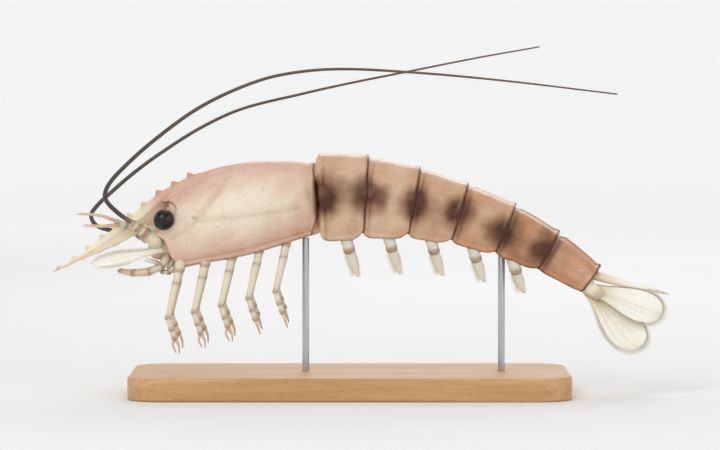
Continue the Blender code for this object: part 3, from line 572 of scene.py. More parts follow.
def chitin(name, light, warm, dark, halo=None, roughness=0.3, mottle=0.3, speckle=0.35, through=0.12):
    """Crustacean shell: chitin laid down in clear layers over pigment and hardened.

    The clear layers give a wet gloss over soft, cloudy colour. Pigment cells show as fine dots, about 0.25 mm
    wide and 0.8 mm apart, and the surface has shallow pits about 0.5 mm apart. A halo is the browner colour
    that a dark patch thins out through. Chitin's IOR is 1.54, but the light meets its waxy outer layer, at
    about 1.42.
    """
    material, node = new_material(name)
    place, warm_mark, dark_mark = read_marks(node)
    clouds = node("TexNoise", {"Vector": place, "Scale": 260, "Detail": 4})
    grains = node("TexNoise", {"Vector": place, "Scale": 1700, "Detail": 2})
    pits = node("TexVoronoi", {"Vector": place, "Scale": 2000})
    cells = node("TexVoronoi", {"Vector": place, "Scale": 1250})
    drift = node("Math", {0: clouds, 1: 2 * mottle, 2: -mottle}, operation="MULTIPLY_ADD")
    warmth = node("Math", {0: warm_mark, 1: drift}, operation="ADD", use_clamp=True)
    tint = node("Mix", {0: warmth, 6: (*light, 1), 7: (*warm, 1)}, data_type="RGBA")
    patchy = node("MapRange", {0: clouds, 1: 0.3, 2: 0.7, 3: 0.84, 4: 1.12})
    depth = node("Math", {0: dark_mark, 1: patchy}, operation="MULTIPLY", use_clamp=True)
    edge, core = tint, depth
    if halo:
        spread = node("MapRange", {0: depth, 1: 0, 2: 0.77})
        edge = node("Mix", {0: spread, 6: tint, 7: (*halo, 1)}, data_type="RGBA")
        core = node("MapRange", {0: depth, 1: 0.25, 2: 1})
    shade = node("Mix", {0: core, 6: edge, 7: (*dark, 1)}, data_type="RGBA")
    dots = node("MapRange", {0: cells, 1: 0.14, 2: 0.3, 3: speckle, 4: 0})
    thin_out = node("MapRange", {0: grains, 1: 0.4, 2: 0.62, 3: 0.1, 4: 1})
    sprinkle = node("Math", {0: dots, 1: thin_out}, operation="MULTIPLY")
    colour = node("Mix", {0: sprinkle, 6: shade, 7: (*dark, 1)}, data_type="RGBA")
    dull = node("MapRange", {0: grains, 1: 0.3, 2: 0.7, 3: roughness - 0.05, 4: roughness + 0.09})
    pitted = node("Bump", {"Strength": 0.35, "Distance": 0.00006, "Height": pits})
    uneven = node("Bump", {"Strength": 0.3, "Distance": 0.0002, "Height": clouds, "Normal": pitted})
    shader = node("BsdfPrincipled", {
        "Base Color": colour, "Roughness": dull, "Normal": uneven, "IOR": 1.42, "Subsurface Weight": through,
        "Subsurface Radius": (1, 0.55, 0.35), "Subsurface Scale": 0.0012, "Coat Weight": 0.1,
        "Coat Roughness": 0.14})
    node("OutputMaterial", {"Surface": shader})
    return material


def matt_paper(name, colour, glow):
    """Studio paper: matt, pulp-coated and faintly uneven, so that it shows no reflection.

    The far part, which hangs as a wall, glows with painted light that stands in for a lamp behind it, so that
    it is as pale as the floor. The tooth of real paper is much finer, and is drawn about 1 mm wide.
    """
    material, node = new_material(name)
    place = node("TexCoord").outputs["Object"]
    tooth = node("TexNoise", {"Vector": place, "Scale": 900, "Detail": 2})
    bump = node("Bump", {"Strength": 0.1, "Distance": 0.0002, "Height": tooth})
    reach = node("VectorMath", {0: place}, operation="LENGTH")
    # Painted light: the paper glows more with distance from the middle, in place of a lamp behind the backdrop
    behind = node("MapRange", {0: reach, 1: 0.55, 2: 1.1, 3: 0, 4: glow}, interpolation_type="SMOOTHSTEP")
    shader = node("BsdfPrincipled", {
        "Base Color": (*colour, 1), "Roughness": 0.9, "Normal": bump, "Emission Color": (*colour, 1),
        "Emission Strength": behind})
    node("OutputMaterial", {"Surface": shader})
    return material


# -------------------- carapace and rostrum

FLANK_LENGTH = 25  # about how far it is down a flank of the carapace
CARAPACE_GRID = (190, 181)  # rows of points from front to rear, and columns round it
ANTENNAL_SPINE = (0.46, 1.3, 0.02)  # place down the flank, length, and half width there
HEPATIC_SPINE = ((-37.5, 0.49), 0.55, 0.8, 0.9)  # (s, t), half width, height, and how far it leans forward
# Lines of the carapace's relief as (s, t), each with its height and half width. A groove's height is below 0,
# and the first three lines are the grooves that show darker.
CARAPACE_RELIEF = (
    (((-37, 0.5), (-33.5, 0.4), (-30, 0.3), (-27.5, 0.2)), -0.42, 0.75),  # groove up to the back
    (((-37.5, 0.52), (-41.5, 0.57), (-45.5, 0.6)), -0.36, 0.7),  # groove forward to the jaw
    (((-36.5, 0.54), (-28, 0.6), (-16, 0.63), (-11, 0.62)), -0.22, 0.8),  # long groove over the gills
    (((-49.5, 0.46), (-44, 0.465), (-40, 0.47)), 0.34, 0.5),  # ridge behind the spine by the eye
    (((-46, 0.13), (-40, 0.115), (-32, 0.1), (-24, 0.09)), -0.3, 0.55),  # groove beside the crest
    (((-41.5, 0.235), (-39.5, 0.3), (-41.3, 0.37)), 0.22, 0.5),  # brow round the eye
)
GILL_SWELL = ((-20, 0.64), (9, 0.17), 0.28)  # middle and half sizes as s and t, and height
CARAPACE_BEAD = (0.45, 1.5, 0.6, 0.7)  # as edge_bead takes it
BEAD_HEIGHTS = (0.2, 0.22, 0.16)  # along the rear, lower and front edges
CREST = ((-48, 1.1), (-43, 1), (-36, 0.7), (-29, 0.28), (-22, 0))  # place along the arc, height
CREST_WIDTH = ((-48, 1.5), (-40, 0.9), (-30, 0.6))
PALE_MIDDLE, PALE_SIZE, PALE_SLOPE = (-28, 0.3), (22.5, 10), 0.06  # the flank's light patch, as s and u


def near_line(s, t, line, width):
    """1 on a line of (s, t) points on the flank, falling to 0 beside it."""
    place = np.stack(np.broadcast_arrays(s, t * FLANK_LENGTH), -1)
    nearest = np.full(place.shape[:-1], np.inf)
    for start, end in zip(line, line[1:]):
        start, end = np.array(start) * (1, FLANK_LENGTH), np.array(end) * (1, FLANK_LENGTH)
        share = np.clip((place - start) @ (end - start) / ((end - start) @ (end - start)), 0, 1)
        aside = place - start - share[..., None] * (end - start)
        nearest = np.minimum(nearest, np.linalg.norm(aside, axis=-1))
    return hump(nearest, width)


def edge_bead(distance, crown, groove, groove_width, groove_depth):
    """A bead along an edge, 1 high at its crown, with a groove behind it."""
    return hump(distance - crown, crown) - groove_depth * hump(distance - groove, groove_width)


def carapace_form():
    """Its plain form: s and t, y and u there, distances from its edges, and 0 where the rostrum joins."""
    rows, count = CARAPACE_GRID
    columns = np.linspace(-1, 1, count)
    t = np.abs(columns)
    place, length, half = ANTENNAL_SPINE
    front = value_at(CARAPACE_FRONT, t) - length * hump(t - place, half)
    rear = CARAPACE_REAR - CARAPACE_CORNER * smooth_step((t - 0.75) / 0.25)
    s = front + (rear - front) * np.linspace(0, 1, rows)[:, None]
    t = np.broadcast_to(t, s.shape)
    across, up = flank(t, CARAPACE_EDGE)
    return SimpleNamespace(
        s=s, t=t, y=np.sign(columns) * across * value_at(CARAPACE_WIDTH, s),
        u=up * value_at(CARAPACE_DEPTH, s), to_rear=rear - s, to_lower=(1 - t) * FLANK_LENGTH,
        to_front=s - front, beside_rostrum=smooth_step((t - 0.05) / 0.08))


def carapace_relief(form, grid, groove):
    """Height of the grooves, ridges and edges over the plain form, with the deepest groove's depth given."""
    s, t = form.s, form.t
    height = np.zeros(s.shape)
    for line, level, wide in CARAPACE_RELIEF:
        height += level * (groove / abs(CARAPACE_RELIEF[0][1])) * near_line(s, t, line, wide)
    rear, lower, front = BEAD_HEIGHTS
    edges = ((form.to_rear, rear), (form.to_lower, lower), (form.to_front, front * form.beside_rostrum))
    for distance, level in edges:
        height += level * edge_bead(distance, *CARAPACE_BEAD)
    (swell_s, swell_t), (long, deep), swell = GILL_SWELL
    height += swell * hump(np.hypot((s - swell_s) / long, (t - swell_t) / deep), 1.0)
    height += 0.05 * grain(grid, 4.0, seed=2)
    return height


def carapace_marks(form, grid, spike):
    """The middle of the flank is light and the margins pink, with brown in the grooves and at the edges."""
    s, u = form.s, form.u
    along, up = s - PALE_MIDDLE[0], u - PALE_MIDDLE[1]
    pale = np.exp(-np.hypot(along / PALE_SIZE[0], (up - PALE_SLOPE * along) / PALE_SIZE[1]) ** 2.6)
    warm = 1.02 - 1.05 * pale + 0.12 * grain(grid, 7.0, seed=5)
    edges = (0.75 * hump(form.to_rear, 0.55) + 0.5 * hump(form.to_lower, 0.5)
             + 0.5 * hump(form.to_front, 0.4) * form.beside_rostrum)
    grooves = sum(near_line(s, form.t, line, 0.6) for line, _, _ in CARAPACE_RELIEF[:3])
    shade = 0.14 * smooth_step((s + 26) / 16) * smooth_step((5 - u) / 8) + 0.7 * blotches(s, u)
    shade += 0.1 * hump(form.y, 0.8) * smooth_step((-20 - s) / 10)
    return np.clip(warm, 0, 1), np.clip(edges + shade + 0.16 * grooves + 0.25 * spike, 0, 1)


def carapace_piece(sizes, colours):
    """The shell over the head and breast."""
    form = carapace_form()
    crest = value_at(CREST, form.s) * np.exp(-np.abs(form.y / value_at(CREST_WIDTH, form.s)) ** 3)
    grid = body_points(form.s, form.y, form.u + crest)
    (spine_s, spine_t), spine_width, spine_height, lean = HEPATIC_SPINE
    spike = hump(np.hypot(form.s - spine_s, (form.t - spine_t) * FLANK_LENGTH), spine_width)
    height = carapace_relief(form, grid, sizes.groove / MM) + spine_height * spike
    grid = grid + normals_of(grid) * height[..., None]
    grid[..., 0] -= lean * spike
    warm, dark = carapace_marks(form, grid, spike)
    shape = Shape()
    add_shell(shape, grid, sizes.shell / MM, warm, dark)
    shell = chitin("chitin shell, cream and pink", colours.cream, colours.pink, linear("5A3A24"),
                   linear("B4906C"), mottle=0.42)
    new_piece("carapace_shell", shape, shell, "shell", "carapace")


ROSTRUM_GRID = (430, 30)  # points along the rostrum, and down each side
ROSTRUM_STEPS = 32  # teeth stand at steps of these
UPPER_TEETH, LOWER_TEETH = range(-6, 32, 4), range(16, 32, 4)
KEEL_START = -0.36  # share at which the rostrum's keel rises out of the carapace's back
ROSTRUM_RAKE = math.radians(60)  # how steeply its depth is taken, below level and back
# Half thickness of the blade from its upper edge (0) to its lower edge (1), as a share of its greatest
ROSTRUM_SECTION = ((0, 0), (0.03, 0.26), (0.14, 0.42), (0.34, 0.74), (0.44, 1), (0.54, 0.84), (0.8, 0.5),
                   (0.96, 0.26), (1, 0))


def rostrum_edges(share):
    """Upper and lower edge of the rostrum, without teeth, as x and z at shares of its length."""
    start, end = np.array(ROSTRUM_ROOT), np.array(ROSTRUM_TIP)
    reach = np.linalg.norm(end - start)
    inside = np.clip(share, 0, 1)[:, None]
    slopes = np.radians(ROSTRUM_SLOPES)
    pulls = [np.array((-math.cos(slope), -math.sin(slope))) * reach for slope in slopes]
    upper = start + (end - start) * smooth_step(inside)
    upper += pulls[0] * inside * (1 - inside) ** 2 - pulls[1] * inside ** 2 * (1 - inside)
    upper += pulls[0] * np.minimum(share, 0)[:, None]
    # Its root follows the crest of the carapace: below it where the keel starts, then above it
    crest_s = np.linspace(-54, -28, 80)
    crest = body_points(crest_s, 0.0, value_at(CARAPACE_DEPTH, crest_s) + value_at(CREST, crest_s))
    keel = np.interp(upper[:, 0], crest[:, 0], crest[:, 2]) - 0.35
    keel += 0.7 * smooth_step((share - KEEL_START) / 0.16)
    upper[:, 1] += (keel - upper[:, 1]) * (1 - smooth_step((share - 0.06) / 0.2))
    belly = 0.78 + 0.5 * np.sin(math.pi * np.minimum(inside / 0.8, 1))
    depth = ROSTRUM_DEPTH * belly * (1 - inside) ** 0.55 * (1 - 0.55 * inside ** 3)
    return upper, upper + np.array((math.cos(ROSTRUM_RAKE), -math.sin(ROSTRUM_RAKE))) * depth


def rostrum_thickness(along):
    """Half its greatest thickness at shares of its length: more at the root, less in the keel and the tip."""
    inside = np.clip(along, 0, 1)
    thick, thin = ROSTRUM_THICKNESS
    half = (thick + (thin - thick) * smooth_step(inside)) / 2 * (1 - 0.8 * inside ** 8)
    return (half + 0.35 * (1 - smooth_step(inside / 0.15))) * (0.4 + 0.6 * smooth_step((along + 0.1) / 0.2))


def teeth(share, places):
    """1 at each tooth's tip and 0 between the teeth."""
    found = np.zeros(share.shape)
    for place in places:
        found = np.maximum(found, np.clip(1 - np.abs(share * ROSTRUM_STEPS - place), 0, 1) ** 0.8)
    return found


def rostrum_piece(sizes, colours):
    """The toothed blade between the eyes, which stands on edge and is thickest along a rib on each side."""
    rows, steps = ROSTRUM_GRID
    share = np.linspace(KEEL_START, 1, rows)
    upper, lower = rostrum_edges(share)
    half = np.linspace(0, 1, steps)
    down = np.concatenate((half, half[-2:0:-1]))[None, :]
    side = np.concatenate((np.ones(steps), -np.ones(steps - 2)))[None, :]
    along = share[:, None]
    tooth = sizes.tooth / MM
    above = (teeth(share, UPPER_TEETH) * tooth * (1 - 0.45 * share))[:, None] * np.clip(1 - down / 0.2, 0, 1)
    below = (teeth(share, LOWER_TEETH) * tooth * np.sqrt(1 - share.clip(0)))[:, None]
    below = below * np.clip((down - 0.82) / 0.18, 0, 1)
    edgewise = upper[:, None] + (lower - upper)[:, None] * down[..., None]
    x = edgewise[..., 0] - (1.0 * above + 0.9 * below)
    z = edgewise[..., 1] + (1.0 * above - 0.85 * below)
    y = side * rostrum_thickness(along) * value_at(ROSTRUM_SECTION, down)
    dark = 0.5 * (above + below) / tooth + 0.2 * hump(down - 0.44, 0.05)
    dark = dark + 0.6 * smooth_step((along - 0.9) / 0.1)
    warm = 1 - smooth_step((along - 0.02) / 0.26) + 0.25 * smooth_step((along - 0.5) / 0.5)
    shape = Shape()
    add_closed(shape, np.stack((x, y, z), -1), np.clip(warm, 0, 1), np.clip(dark, 0, 1))
    bone = chitin("chitin rostrum, hardened and pale", colours.bone, colours.pink, linear("8A6548"),
                  roughness=0.34, mottle=0.12, speckle=0.2)
    new_piece("rostrum_blade", shape, bone, "rostrum", "rostrum")


class PRAWN_OT_carapace(bpy.types.Operator):
    """Make the carapace and the toothed rostrum that grows from its crest"""

    bl_idname = "prawn.carapace"
    bl_label = "Carapace and Rostrum"

    def execute(self, context):
        carapace_piece(context.scene.prawn_sizes, context.scene.prawn_colours)
        rostrum_piece(context.scene.prawn_sizes, context.scene.prawn_colours)
        return {"FINISHED"}


# -------------------- tail plates

PLATE_GRID = (56, 151)  # rows of points along a plate, and columns round it
SHOULDER_TUCK = 0.29  # share by which the first plate shrinks, to pass under the carapace
TUCK_LENGTHS = (2,) + (0.9,) * 5  # how far each plate's front edge lies under what is before it
GIRTH = 2.6  # length down a plate's flank, as a multiple of its half depth
REAR_BEAD, LOWER_BEAD = (0.4, 1.3, 0.5, 0.8), (0.4, 1.3, 0.6, 0.6)  # as edge_bead takes them
FRONT_GROOVE = (1.9, 0.5)  # how far it lies behind a plate's front edge, and its half width
HINGE_PLACES, HINGE_T = (0.9, -0.6), 0.63  # of the hinges: behind a plate's two edges, and down its flank
PLATE_KEELS = (0, 0, 0.1, 0.35, 0.5, 0.7)  # height of the keel along the back of each plate
BLOTCHES = ((2.2, 0.7), (0.9, 1.5), (1, 0.4), (0.2, 0.3), (0, -0.6), (-0.7, 0))  # behind each edge, and u
BLOTCH_SIZE = (4.6, 5.2)  # half length and half height
BLOTCH_SHRINK = 0.0026  # share of its size that a blotch loses for each millimetre along the tail
PLATE_BANDS = (0.05, 0.04, 0.05, 0.08, 0.16, 0.05)  # darkness of the band along each plate's flank
PLATE_SHADES = (0, 0, 0, 0, 0.09, 0.1)  # and darkness of the whole plate


def blotches(s, u):
    """Darkness of the row of blotches along the flank, one behind each plate edge."""
    total = np.zeros(s.shape)
    for edge, (behind, level) in zip(PLATE_EDGES, BLOTCHES):
        shrink = 1 - BLOTCH_SHRINK * (edge - PLATE_EDGES[0])
        across, down = (s - edge - behind) / BLOTCH_SIZE[0], (u - level) / BLOTCH_SIZE[1]
        total += hump(np.hypot(across, down), shrink)
    return total


def plate_form(index, overlap):
    """A plate's plain form: s and t, y and u there, its share of the plate, and distances from its edges."""
    start, end = PLATE_EDGES[index], PLATE_EDGES[index + 1]
    rows, count = PLATE_GRID
    columns = np.linspace(-1, 1, count)
    over = overlap if index < 5 else 0.0
    s = np.linspace(start - TUCK_LENGTHS[index], end + over, rows)[:, None]
    share = np.clip((s - start) / (end - start), -0.2, 1.1)
    lobe = 1 - 0.075 * np.clip(np.abs(2 * share - 1), 0, 1) ** 5
    t = np.abs(columns) * lobe
    step = PLATE_STEP * (share - 0.5) + 0.24 * smooth_step((share - 0.86) / 0.14)
    step -= 0.32 * smooth_step((0.07 - share) / 0.07)
    width, depth = [size + step for size in body_sizes(s)]
    if index == 0:
        shoulder = 1 - SHOULDER_TUCK * (1 - smooth_step((s - start + 0.9) / (0.8 * SHOULDER_LENGTH)))
        width, depth = width * shoulder, depth * shoulder
    across, up = flank(t, PLATE_EDGE)
    return SimpleNamespace(
        s=np.broadcast_to(s, t.shape), t=t, y=np.sign(columns) * across * width, u=up * depth, share=share,
        depth=depth, from_start=s - start, from_end=s - end, to_rear=s.max() - s,
        to_lower=(lobe - t) * GIRTH * depth)


def plate_relief(index, form, grid):
    """Height of a plate's beads, grooves, hinges and keel over its plain form."""
    groove, groove_width = FRONT_GROOVE
    height = -0.16 * hump(form.from_start - groove, groove_width) * smooth_step((0.8 - form.t) / 0.1)
    height = height * (0.4 if index == 0 else 1)
    height = height + 0.14 * edge_bead(form.to_rear, *REAR_BEAD)
    height += 0.16 * edge_bead(form.to_lower, *LOWER_BEAD)
    fold = hump((form.t - 0.7) * GIRTH * form.depth, 0.6)
    height -= 0.2 * fold * smooth_step((form.share - 0.05) / 0.2) * smooth_step((1 - form.share) / 0.2)
    for along, behind in zip((form.from_start, form.from_end), HINGE_PLACES):
        height += 0.16 * hump(np.hypot(along - behind, (form.t - HINGE_T) * GIRTH * form.depth), 1.0)
    keel = PLATE_KEELS[index] * np.exp(-np.abs(form.y / 0.6) ** 1.6)
    height += keel * smooth_step((form.share - 0.02) / 0.2)
    return height + 0.05 * grain(grid, 4.5, seed=11 + index)


def plate_marks(index, form, grid):
    """Tan that deepens to the tail's end and to the margins, with the brown blotches over it."""
    s, u = form.s, form.u
    wander = [0.9 * grain(grid, 6.0, seed=seed) + 0.6 * grain(grid, 2.6, seed=seed + 2) for seed in (21, 22)]
    spots = blotches(s + wander[0], u + wander[1])
    band = PLATE_BANDS[index] * hump(u + 0.6, 5.6) + PLATE_SHADES[index]
    cloud = 0.16 * np.clip(grain(grid, 2.4, seed=41) + 0.2, 0, 1)
    line = 0.85 * hump(form.to_rear, 0.42) + 0.35 * hump(form.to_lower, 0.5)
    line = line + 0.22 * hump(form.from_start - FRONT_GROOVE[0], FRONT_GROOVE[1])
    dark = 1.2 * spots + (band + cloud) * (1 - spots) + line * (1 - 0.5 * spots)
    margin = smooth_step((np.abs(u + 0.4) / form.depth - 0.3) / 0.45)
    warm = 0.05 + 0.3 * margin + 0.62 * smooth_step((s - 12) / 48) + 0.28 * grain(grid, 6.0, seed=31)
    return np.clip(warm, 0, 1), np.clip(dark, 0, 1)


def plate_piece(index, sizes, material):
    """One ring of the tail: its front lies under the plate before it, and its rear edge over the next."""
    form = plate_form(index, sizes.overlap / MM)
    grid = body_points(form.s, form.y, form.u)
    grid = grid + normals_of(grid) * plate_relief(index, form, grid)[..., None]
    warm, dark = plate_marks(index, form, grid)
    shape = Shape()
    add_shell(shape, grid, sizes.shell / MM, warm, dark)
    new_piece(f"tail_plate_{index + 1}", shape, material, "tail_shell", f"abdomen_{index + 1}")


class PRAWN_OT_tail_plates(bpy.types.Operator):
    """Make the six overlapping plates of the tail, with their dark blotches"""

    bl_idname = "prawn.tail_plates"
    bl_label = "Tail Plates"

    def execute(self, context):
        colours = context.scene.prawn_colours
        shell = chitin("chitin shell, tan and brown", linear("DAC1A7"), colours.tan, colours.blotch,
                       linear("AE8058"), mottle=0.34, speckle=0.45)
        for index in range(len(PLATE_EDGES) - 1):
            plate_piece(index, context.scene.prawn_sizes, shell)
        return {"FINISHED"}


# -------------------- soft skin and mouth

VOXEL = 0.32  # size of the cells in which the soft parts grow together


def grow_together(name, shape, cell, rounds):
    """A shape's overlapping closed parts as one smooth closed mesh."""
    rough = put_in_scene(name, mesh_of(name, shape))
    remesh = rough.modifiers.new("one skin", "REMESH")
    remesh.mode, remesh.voxel_size = "VOXEL", cell * MM
    smooth = rough.modifiers.new("soften", "SMOOTH")
    smooth.factor, smooth.iterations = 0.5, rounds
    mesh = modified_mesh(rough)
    bpy.data.objects.remove(rough)
    mesh.name = name
    mesh.shade_smooth()
    return mesh


def mark_mesh(mesh, warm_and_dark):
    """Sets a mesh's marks from a function of its points in millimetres."""
    points = np.empty(len(mesh.vertices) * 3)
    mesh.vertices.foreach_get("co", points)
    for mark, values in zip(MARKS, warm_and_dark(points.reshape(-1, 3) / MM)):
        if mark in mesh.attributes:
            mesh.attributes.remove(mesh.attributes[mark])
        values = np.clip(np.broadcast_to(values, len(mesh.vertices)), 0, 1).astype("f")
        mesh.attributes.new(mark, "FLOAT", "POINT").data.foreach_set("value", values)


def soft_skin(name, light, warm, dark):
    """Arthrodial skin: the soft, unhardened chitin between the plates. Folded, waxy and slightly see-through.

    Its folds are about 0.6 mm apart.
    """
    material, node = new_material(name)
    place, warm_mark, dark_mark = read_marks(node)
    clouds = node("TexNoise", {"Vector": place, "Scale": 420, "Detail": 3})
    folds = node("TexNoise", {"Vector": place, "Scale": 1600, "Detail": 2, "Distortion": 0.6})
    drift = node("Math", {0: clouds, 1: 0.7, 2: -0.35}, operation="MULTIPLY_ADD")
    warmth = node("Math", {0: warm_mark, 1: drift}, operation="ADD", use_clamp=True)
    tint = node("Mix", {0: warmth, 6: (*light, 1), 7: (*warm, 1)}, data_type="RGBA")
    shade = node("Mix", {0: dark_mark, 6: tint, 7: (*dark, 1)}, data_type="RGBA")
    bump = node("Bump", {"Strength": 0.5, "Distance": 0.00012, "Height": folds})
    shader = node("BsdfPrincipled", {
        "Base Color": shade, "Roughness": 0.42, "Normal": bump, "IOR": 1.45, "Subsurface Weight": 0.3,
        "Subsurface Radius": (1, 0.5, 0.3), "Subsurface Scale": 0.0015, "Coat Weight": 0.3,
        "Coat Roughness": 0.25})
    node("OutputMaterial", {"Surface": shader})
    return material


def body_tube(shape, stations, sides=32, blunt=True):
    """Adds a tube along the body from stations of (s, middle, half width, half depth)."""
    stations = np.array(stations, float)
    path = body_points(stations[:, 0], 0.0, stations[:, 1])
    add_tube(shape, path, stations[:, [3, 2]], sides, blunt=(blunt, blunt))


def leg_top(pair):
    """Where the walking legs of a pair leave the body, in the middle plane."""
    x, z = LEG_TOPS[pair]
    return np.array((x, 0.0, z))


def swimmeret_root(pair, side):
    """Where a swimming leg leaves the body, and the body's half depth there."""
    s = SWIMMERETS[pair][0]
    width, depth = body_sizes(s)
    return body_points(s, side * SWIMMERET_ROOT[0] * width, SWIMMERET_ROOT[1] * depth), depth


# Tubes that the body's skin grows from: places along the arc, the sizes that they follow, the middle and the
# half depth as (share of the half depth, length added), the share of the half width, sides, and whether blunt
CARAPACE_SIZES, BODY_SIZES = (CARAPACE_WIDTH, CARAPACE_DEPTH), (BODY_WIDTH, BODY_DEPTH)
SKIN_TUBES = (
    (np.linspace(-43, -10, 14), CARAPACE_SIZES, (0, 0), (0.83, 0), 0.8, 48, False),  # inside the carapace
    (np.linspace(-46, -7.5, 16), CARAPACE_SIZES, (-0.62, -0.2), (0.38, 0.35), 0.43, 32, True),  # the breast
    (np.linspace(-9, 67, 40), BODY_SIZES, (-0.5, 0), (0.28, 0), 0.64, 32, True),  # the tail's underside
    (np.array((57, 62, 67.2)), BODY_SIZES, (0, 0), (0.8, 0), 0.8, 32, True),  # the tail's end
)
EYE_BRIDGE = ((-45.3, 0, 48.6), (-51, 0, 43.2))  # the short block of the head that carries both eye stalks
BRIDGE_SIZES = ((1.8, 1.5), (1.5, 1.7))
BAR_PLACES = (-0.55, -0.25, 0, 0.25, 0.55)  # of the points of a bar across the tail's underside, across it
LEG_ROOT, LEG_ROOT_RADII = ((0.3, 2.4, 2.4), (0.1, 3.5, 0.9), (0, 4, -0.4)), (1.6, 1.35, 0.85)


def skin_of_body(shape):
    """Adds the head, the breast and the underside of the tail, with the bars that stiffen it."""
    body_tube(shape, HEAD_SHAPE)
    add_tube(shape, EYE_BRIDGE, BRIDGE_SIZES, 24)
    for places, sizes, middle, deep, wide, sides, blunt in SKIN_TUBES:
        widths, depths = [value_at(size, places) for size in sizes]
        middles, half_depths = [share * depths + added for share, added in (middle, deep)]
        body_tube(shape, np.stack((places, middles, wide * widths, half_depths), 1), sides, blunt)
    for start, end in zip(PLATE_EDGES, PLATE_EDGES[1:-1]):
        s = (start + end) / 2 + 2.2
        width, depth = body_sizes(s)
        bar = [body_points(s, y * width, (-0.79 + 0.1 * abs(y)) * depth) for y in BAR_PLACES]
        add_tube(shape, bar, [0.7] * len(bar), up=(1, 0, 0))


def skin_of_roots(shape, side):
    """Adds the soft roots of the walking legs and the swimming legs of one side."""
    for pair in range(len(LEG_TOPS)):
        add_tube(shape, leg_top(pair) + on_side(LEG_ROOT, side), LEG_ROOT_RADII, up=(1, 0, 0))
    for pair, (s, _) in enumerate(SWIMMERETS):
        root, depth = swimmeret_root(pair, side)
        radius = 0.19 * value_at(BODY_WIDTH, s) - 0.05
        path = [root + (0, -side * 0.9, 0.2 * depth), root + (0, -side * 0.2, 0.1)]
        add_tube(shape, path, [radius * 1.05, radius], up=(1, 0, 0))


def skin_marks(points):
    """Pinker at the head, with soft patches and brown flecks."""
    s, _ = body_places(points)
    warm = 0.45 + 0.35 * grain(points, 6.0, seed=41) + 0.3 * smooth_step((-42 - s) / 6)
    return warm, 0.15 * smooth_step(grain(points, 3.0, seed=42))


def skin_piece(colours):
    """One skin for the head, the breast between the legs and the underside of the tail."""
    shape = Shape()
    skin_of_body(shape)
    for _, side in SIDES:
        skin_of_roots(shape, side)
    mesh = grow_together("soft_skin", shape, VOXEL, 5)
    mark_mesh(mesh, skin_marks)
    skin = soft_skin("soft skin, folded", linear("EBD6C0"), colours.skin, linear("9A6B54"))
    new_piece("soft_skin", mesh, skin, "flesh", "head", "thorax")


MOUTH = body_points(-48, 0, -8.3)
LIP, LIP_RADII = ((-0.6, 0, 1.6), (-1.3, 0, 0.4), (-1.3, 0, -0.6)), (1.2, 1.15, 0.7)
JAWS = (
    ((0.4, 1, 1.4), (-0.4, 0.75, -1.3), 1.25, 0.8),  # start and end of a jaw, and its half widths there
    ((1.6, 1.3, 1.2), (0.9, 1, -1.9), 1.1, 0.7),
    ((-0.9, 1.6, 1.6), (-1.9, 1.5, -0.5), 0.8, 0.5),
)
JAW_POINTS, JAW_BOW, JAW_FLATNESS = 10, (0, 0.35, 0), (0.62, 1)
CURLED_ROUTE = ((0.9, 2.2, 1.6), (-0.6, 2.75, -0.6), (-2.4, 2.6, -1.9), (-3.9, 2, -1.2), (-4.2, 1.3, 0.1))
CURLED_WIDTHS = ((0.75, 0.68), (0.66, 0.58), (0.56, 0.48), (0.46, 0.3))


def mouth_piece(colours):
    """Upper lip, jaws, and the small leaf-shaped and curled limbs that close over them."""
    shape = Shape()
    add_tube(shape, MOUTH + LIP, LIP_RADII, 20, up=(0, 1, 0))
    for _, side in SIDES:
        for start, end, first, last in JAWS:
            middle = (np.array(start) + end) / 2 + JAW_BOW
            path = route_points(MOUTH + on_side((start, middle, end), side), JAW_POINTS)
            radii = np.linspace(first, last, JAW_POINTS)[:, None] * JAW_FLATNESS
            add_tube(shape, path, radii, 18, up=(0, 1, 0))
        curled = route_points(MOUTH + on_side(CURLED_ROUTE, side), len(CURLED_ROUTE))
        for start, end, widths in zip(curled, curled[1:], CURLED_WIDTHS):
            add_joint_piece(shape, start, end, widths, up=(0, 1, 0))
    limb = chitin("chitin limb, thin and cream", colours.limb, colours.skin, colours.joint, mottle=0.2,
                  speckle=0.3, through=0.2)
    new_piece("mouth_limbs", shape, limb, "flesh", "mouthparts")


class PRAWN_OT_skin(bpy.types.Operator):
    """Make the soft skin of the head and the underside, and the mouth"""

    bl_idname = "prawn.skin"
    bl_label = "Soft Skin and Mouth"

    def execute(self, context):
        skin_piece(context.scene.prawn_colours)
        mouth_piece(context.scene.prawn_colours)
        return {"FINISHED"}


# -------------------- eyes

def cornea(name, colour, facet):
    """A compound eye's cornea: thousands of clear six-sided lenses, grown over black pigment.

    It gives one sharp, faintly broken highlight. Real facets are about 0.05 mm wide, and are drawn larger so
    that they show.
    """
    material, node = new_material(name)
    place = node("TexCoord").outputs["Object"]
    lenses = node("TexVoronoi", {"Vector": place, "Scale": 1 / facet, "Randomness": 0.35})
    glow = node("TexNoise", {"Vector": place, "Scale": 500})
    tint = node("MapRange", {0: glow, 1: 0.45, 2: 0.75, 3: 0, 4: 0.35})
    black = node("Mix", {0: tint, 6: (*colour, 1), 7: (*linear("3A2A24"), 1)}, data_type="RGBA")
    bump = node("Bump", {"Strength": 0.35, "Distance": 0.00003, "Height": lenses}, invert=True)
    shader = node("BsdfPrincipled", {"Base Color": black, "Roughness": 0.11, "Normal": bump, "IOR": 1.45})
    node("OutputMaterial", {"Surface": shader})
    return material


CORNEA_ANGLES = (6, 150)  # degrees from the eye's outer pole, over which the cornea reaches
CUP_ANGLES = (148, 118)  # and over which the stalk's cup does, to its rim
CORNEA_RINGS, CUP_RINGS, NECK_RINGS = 44, 10, 9


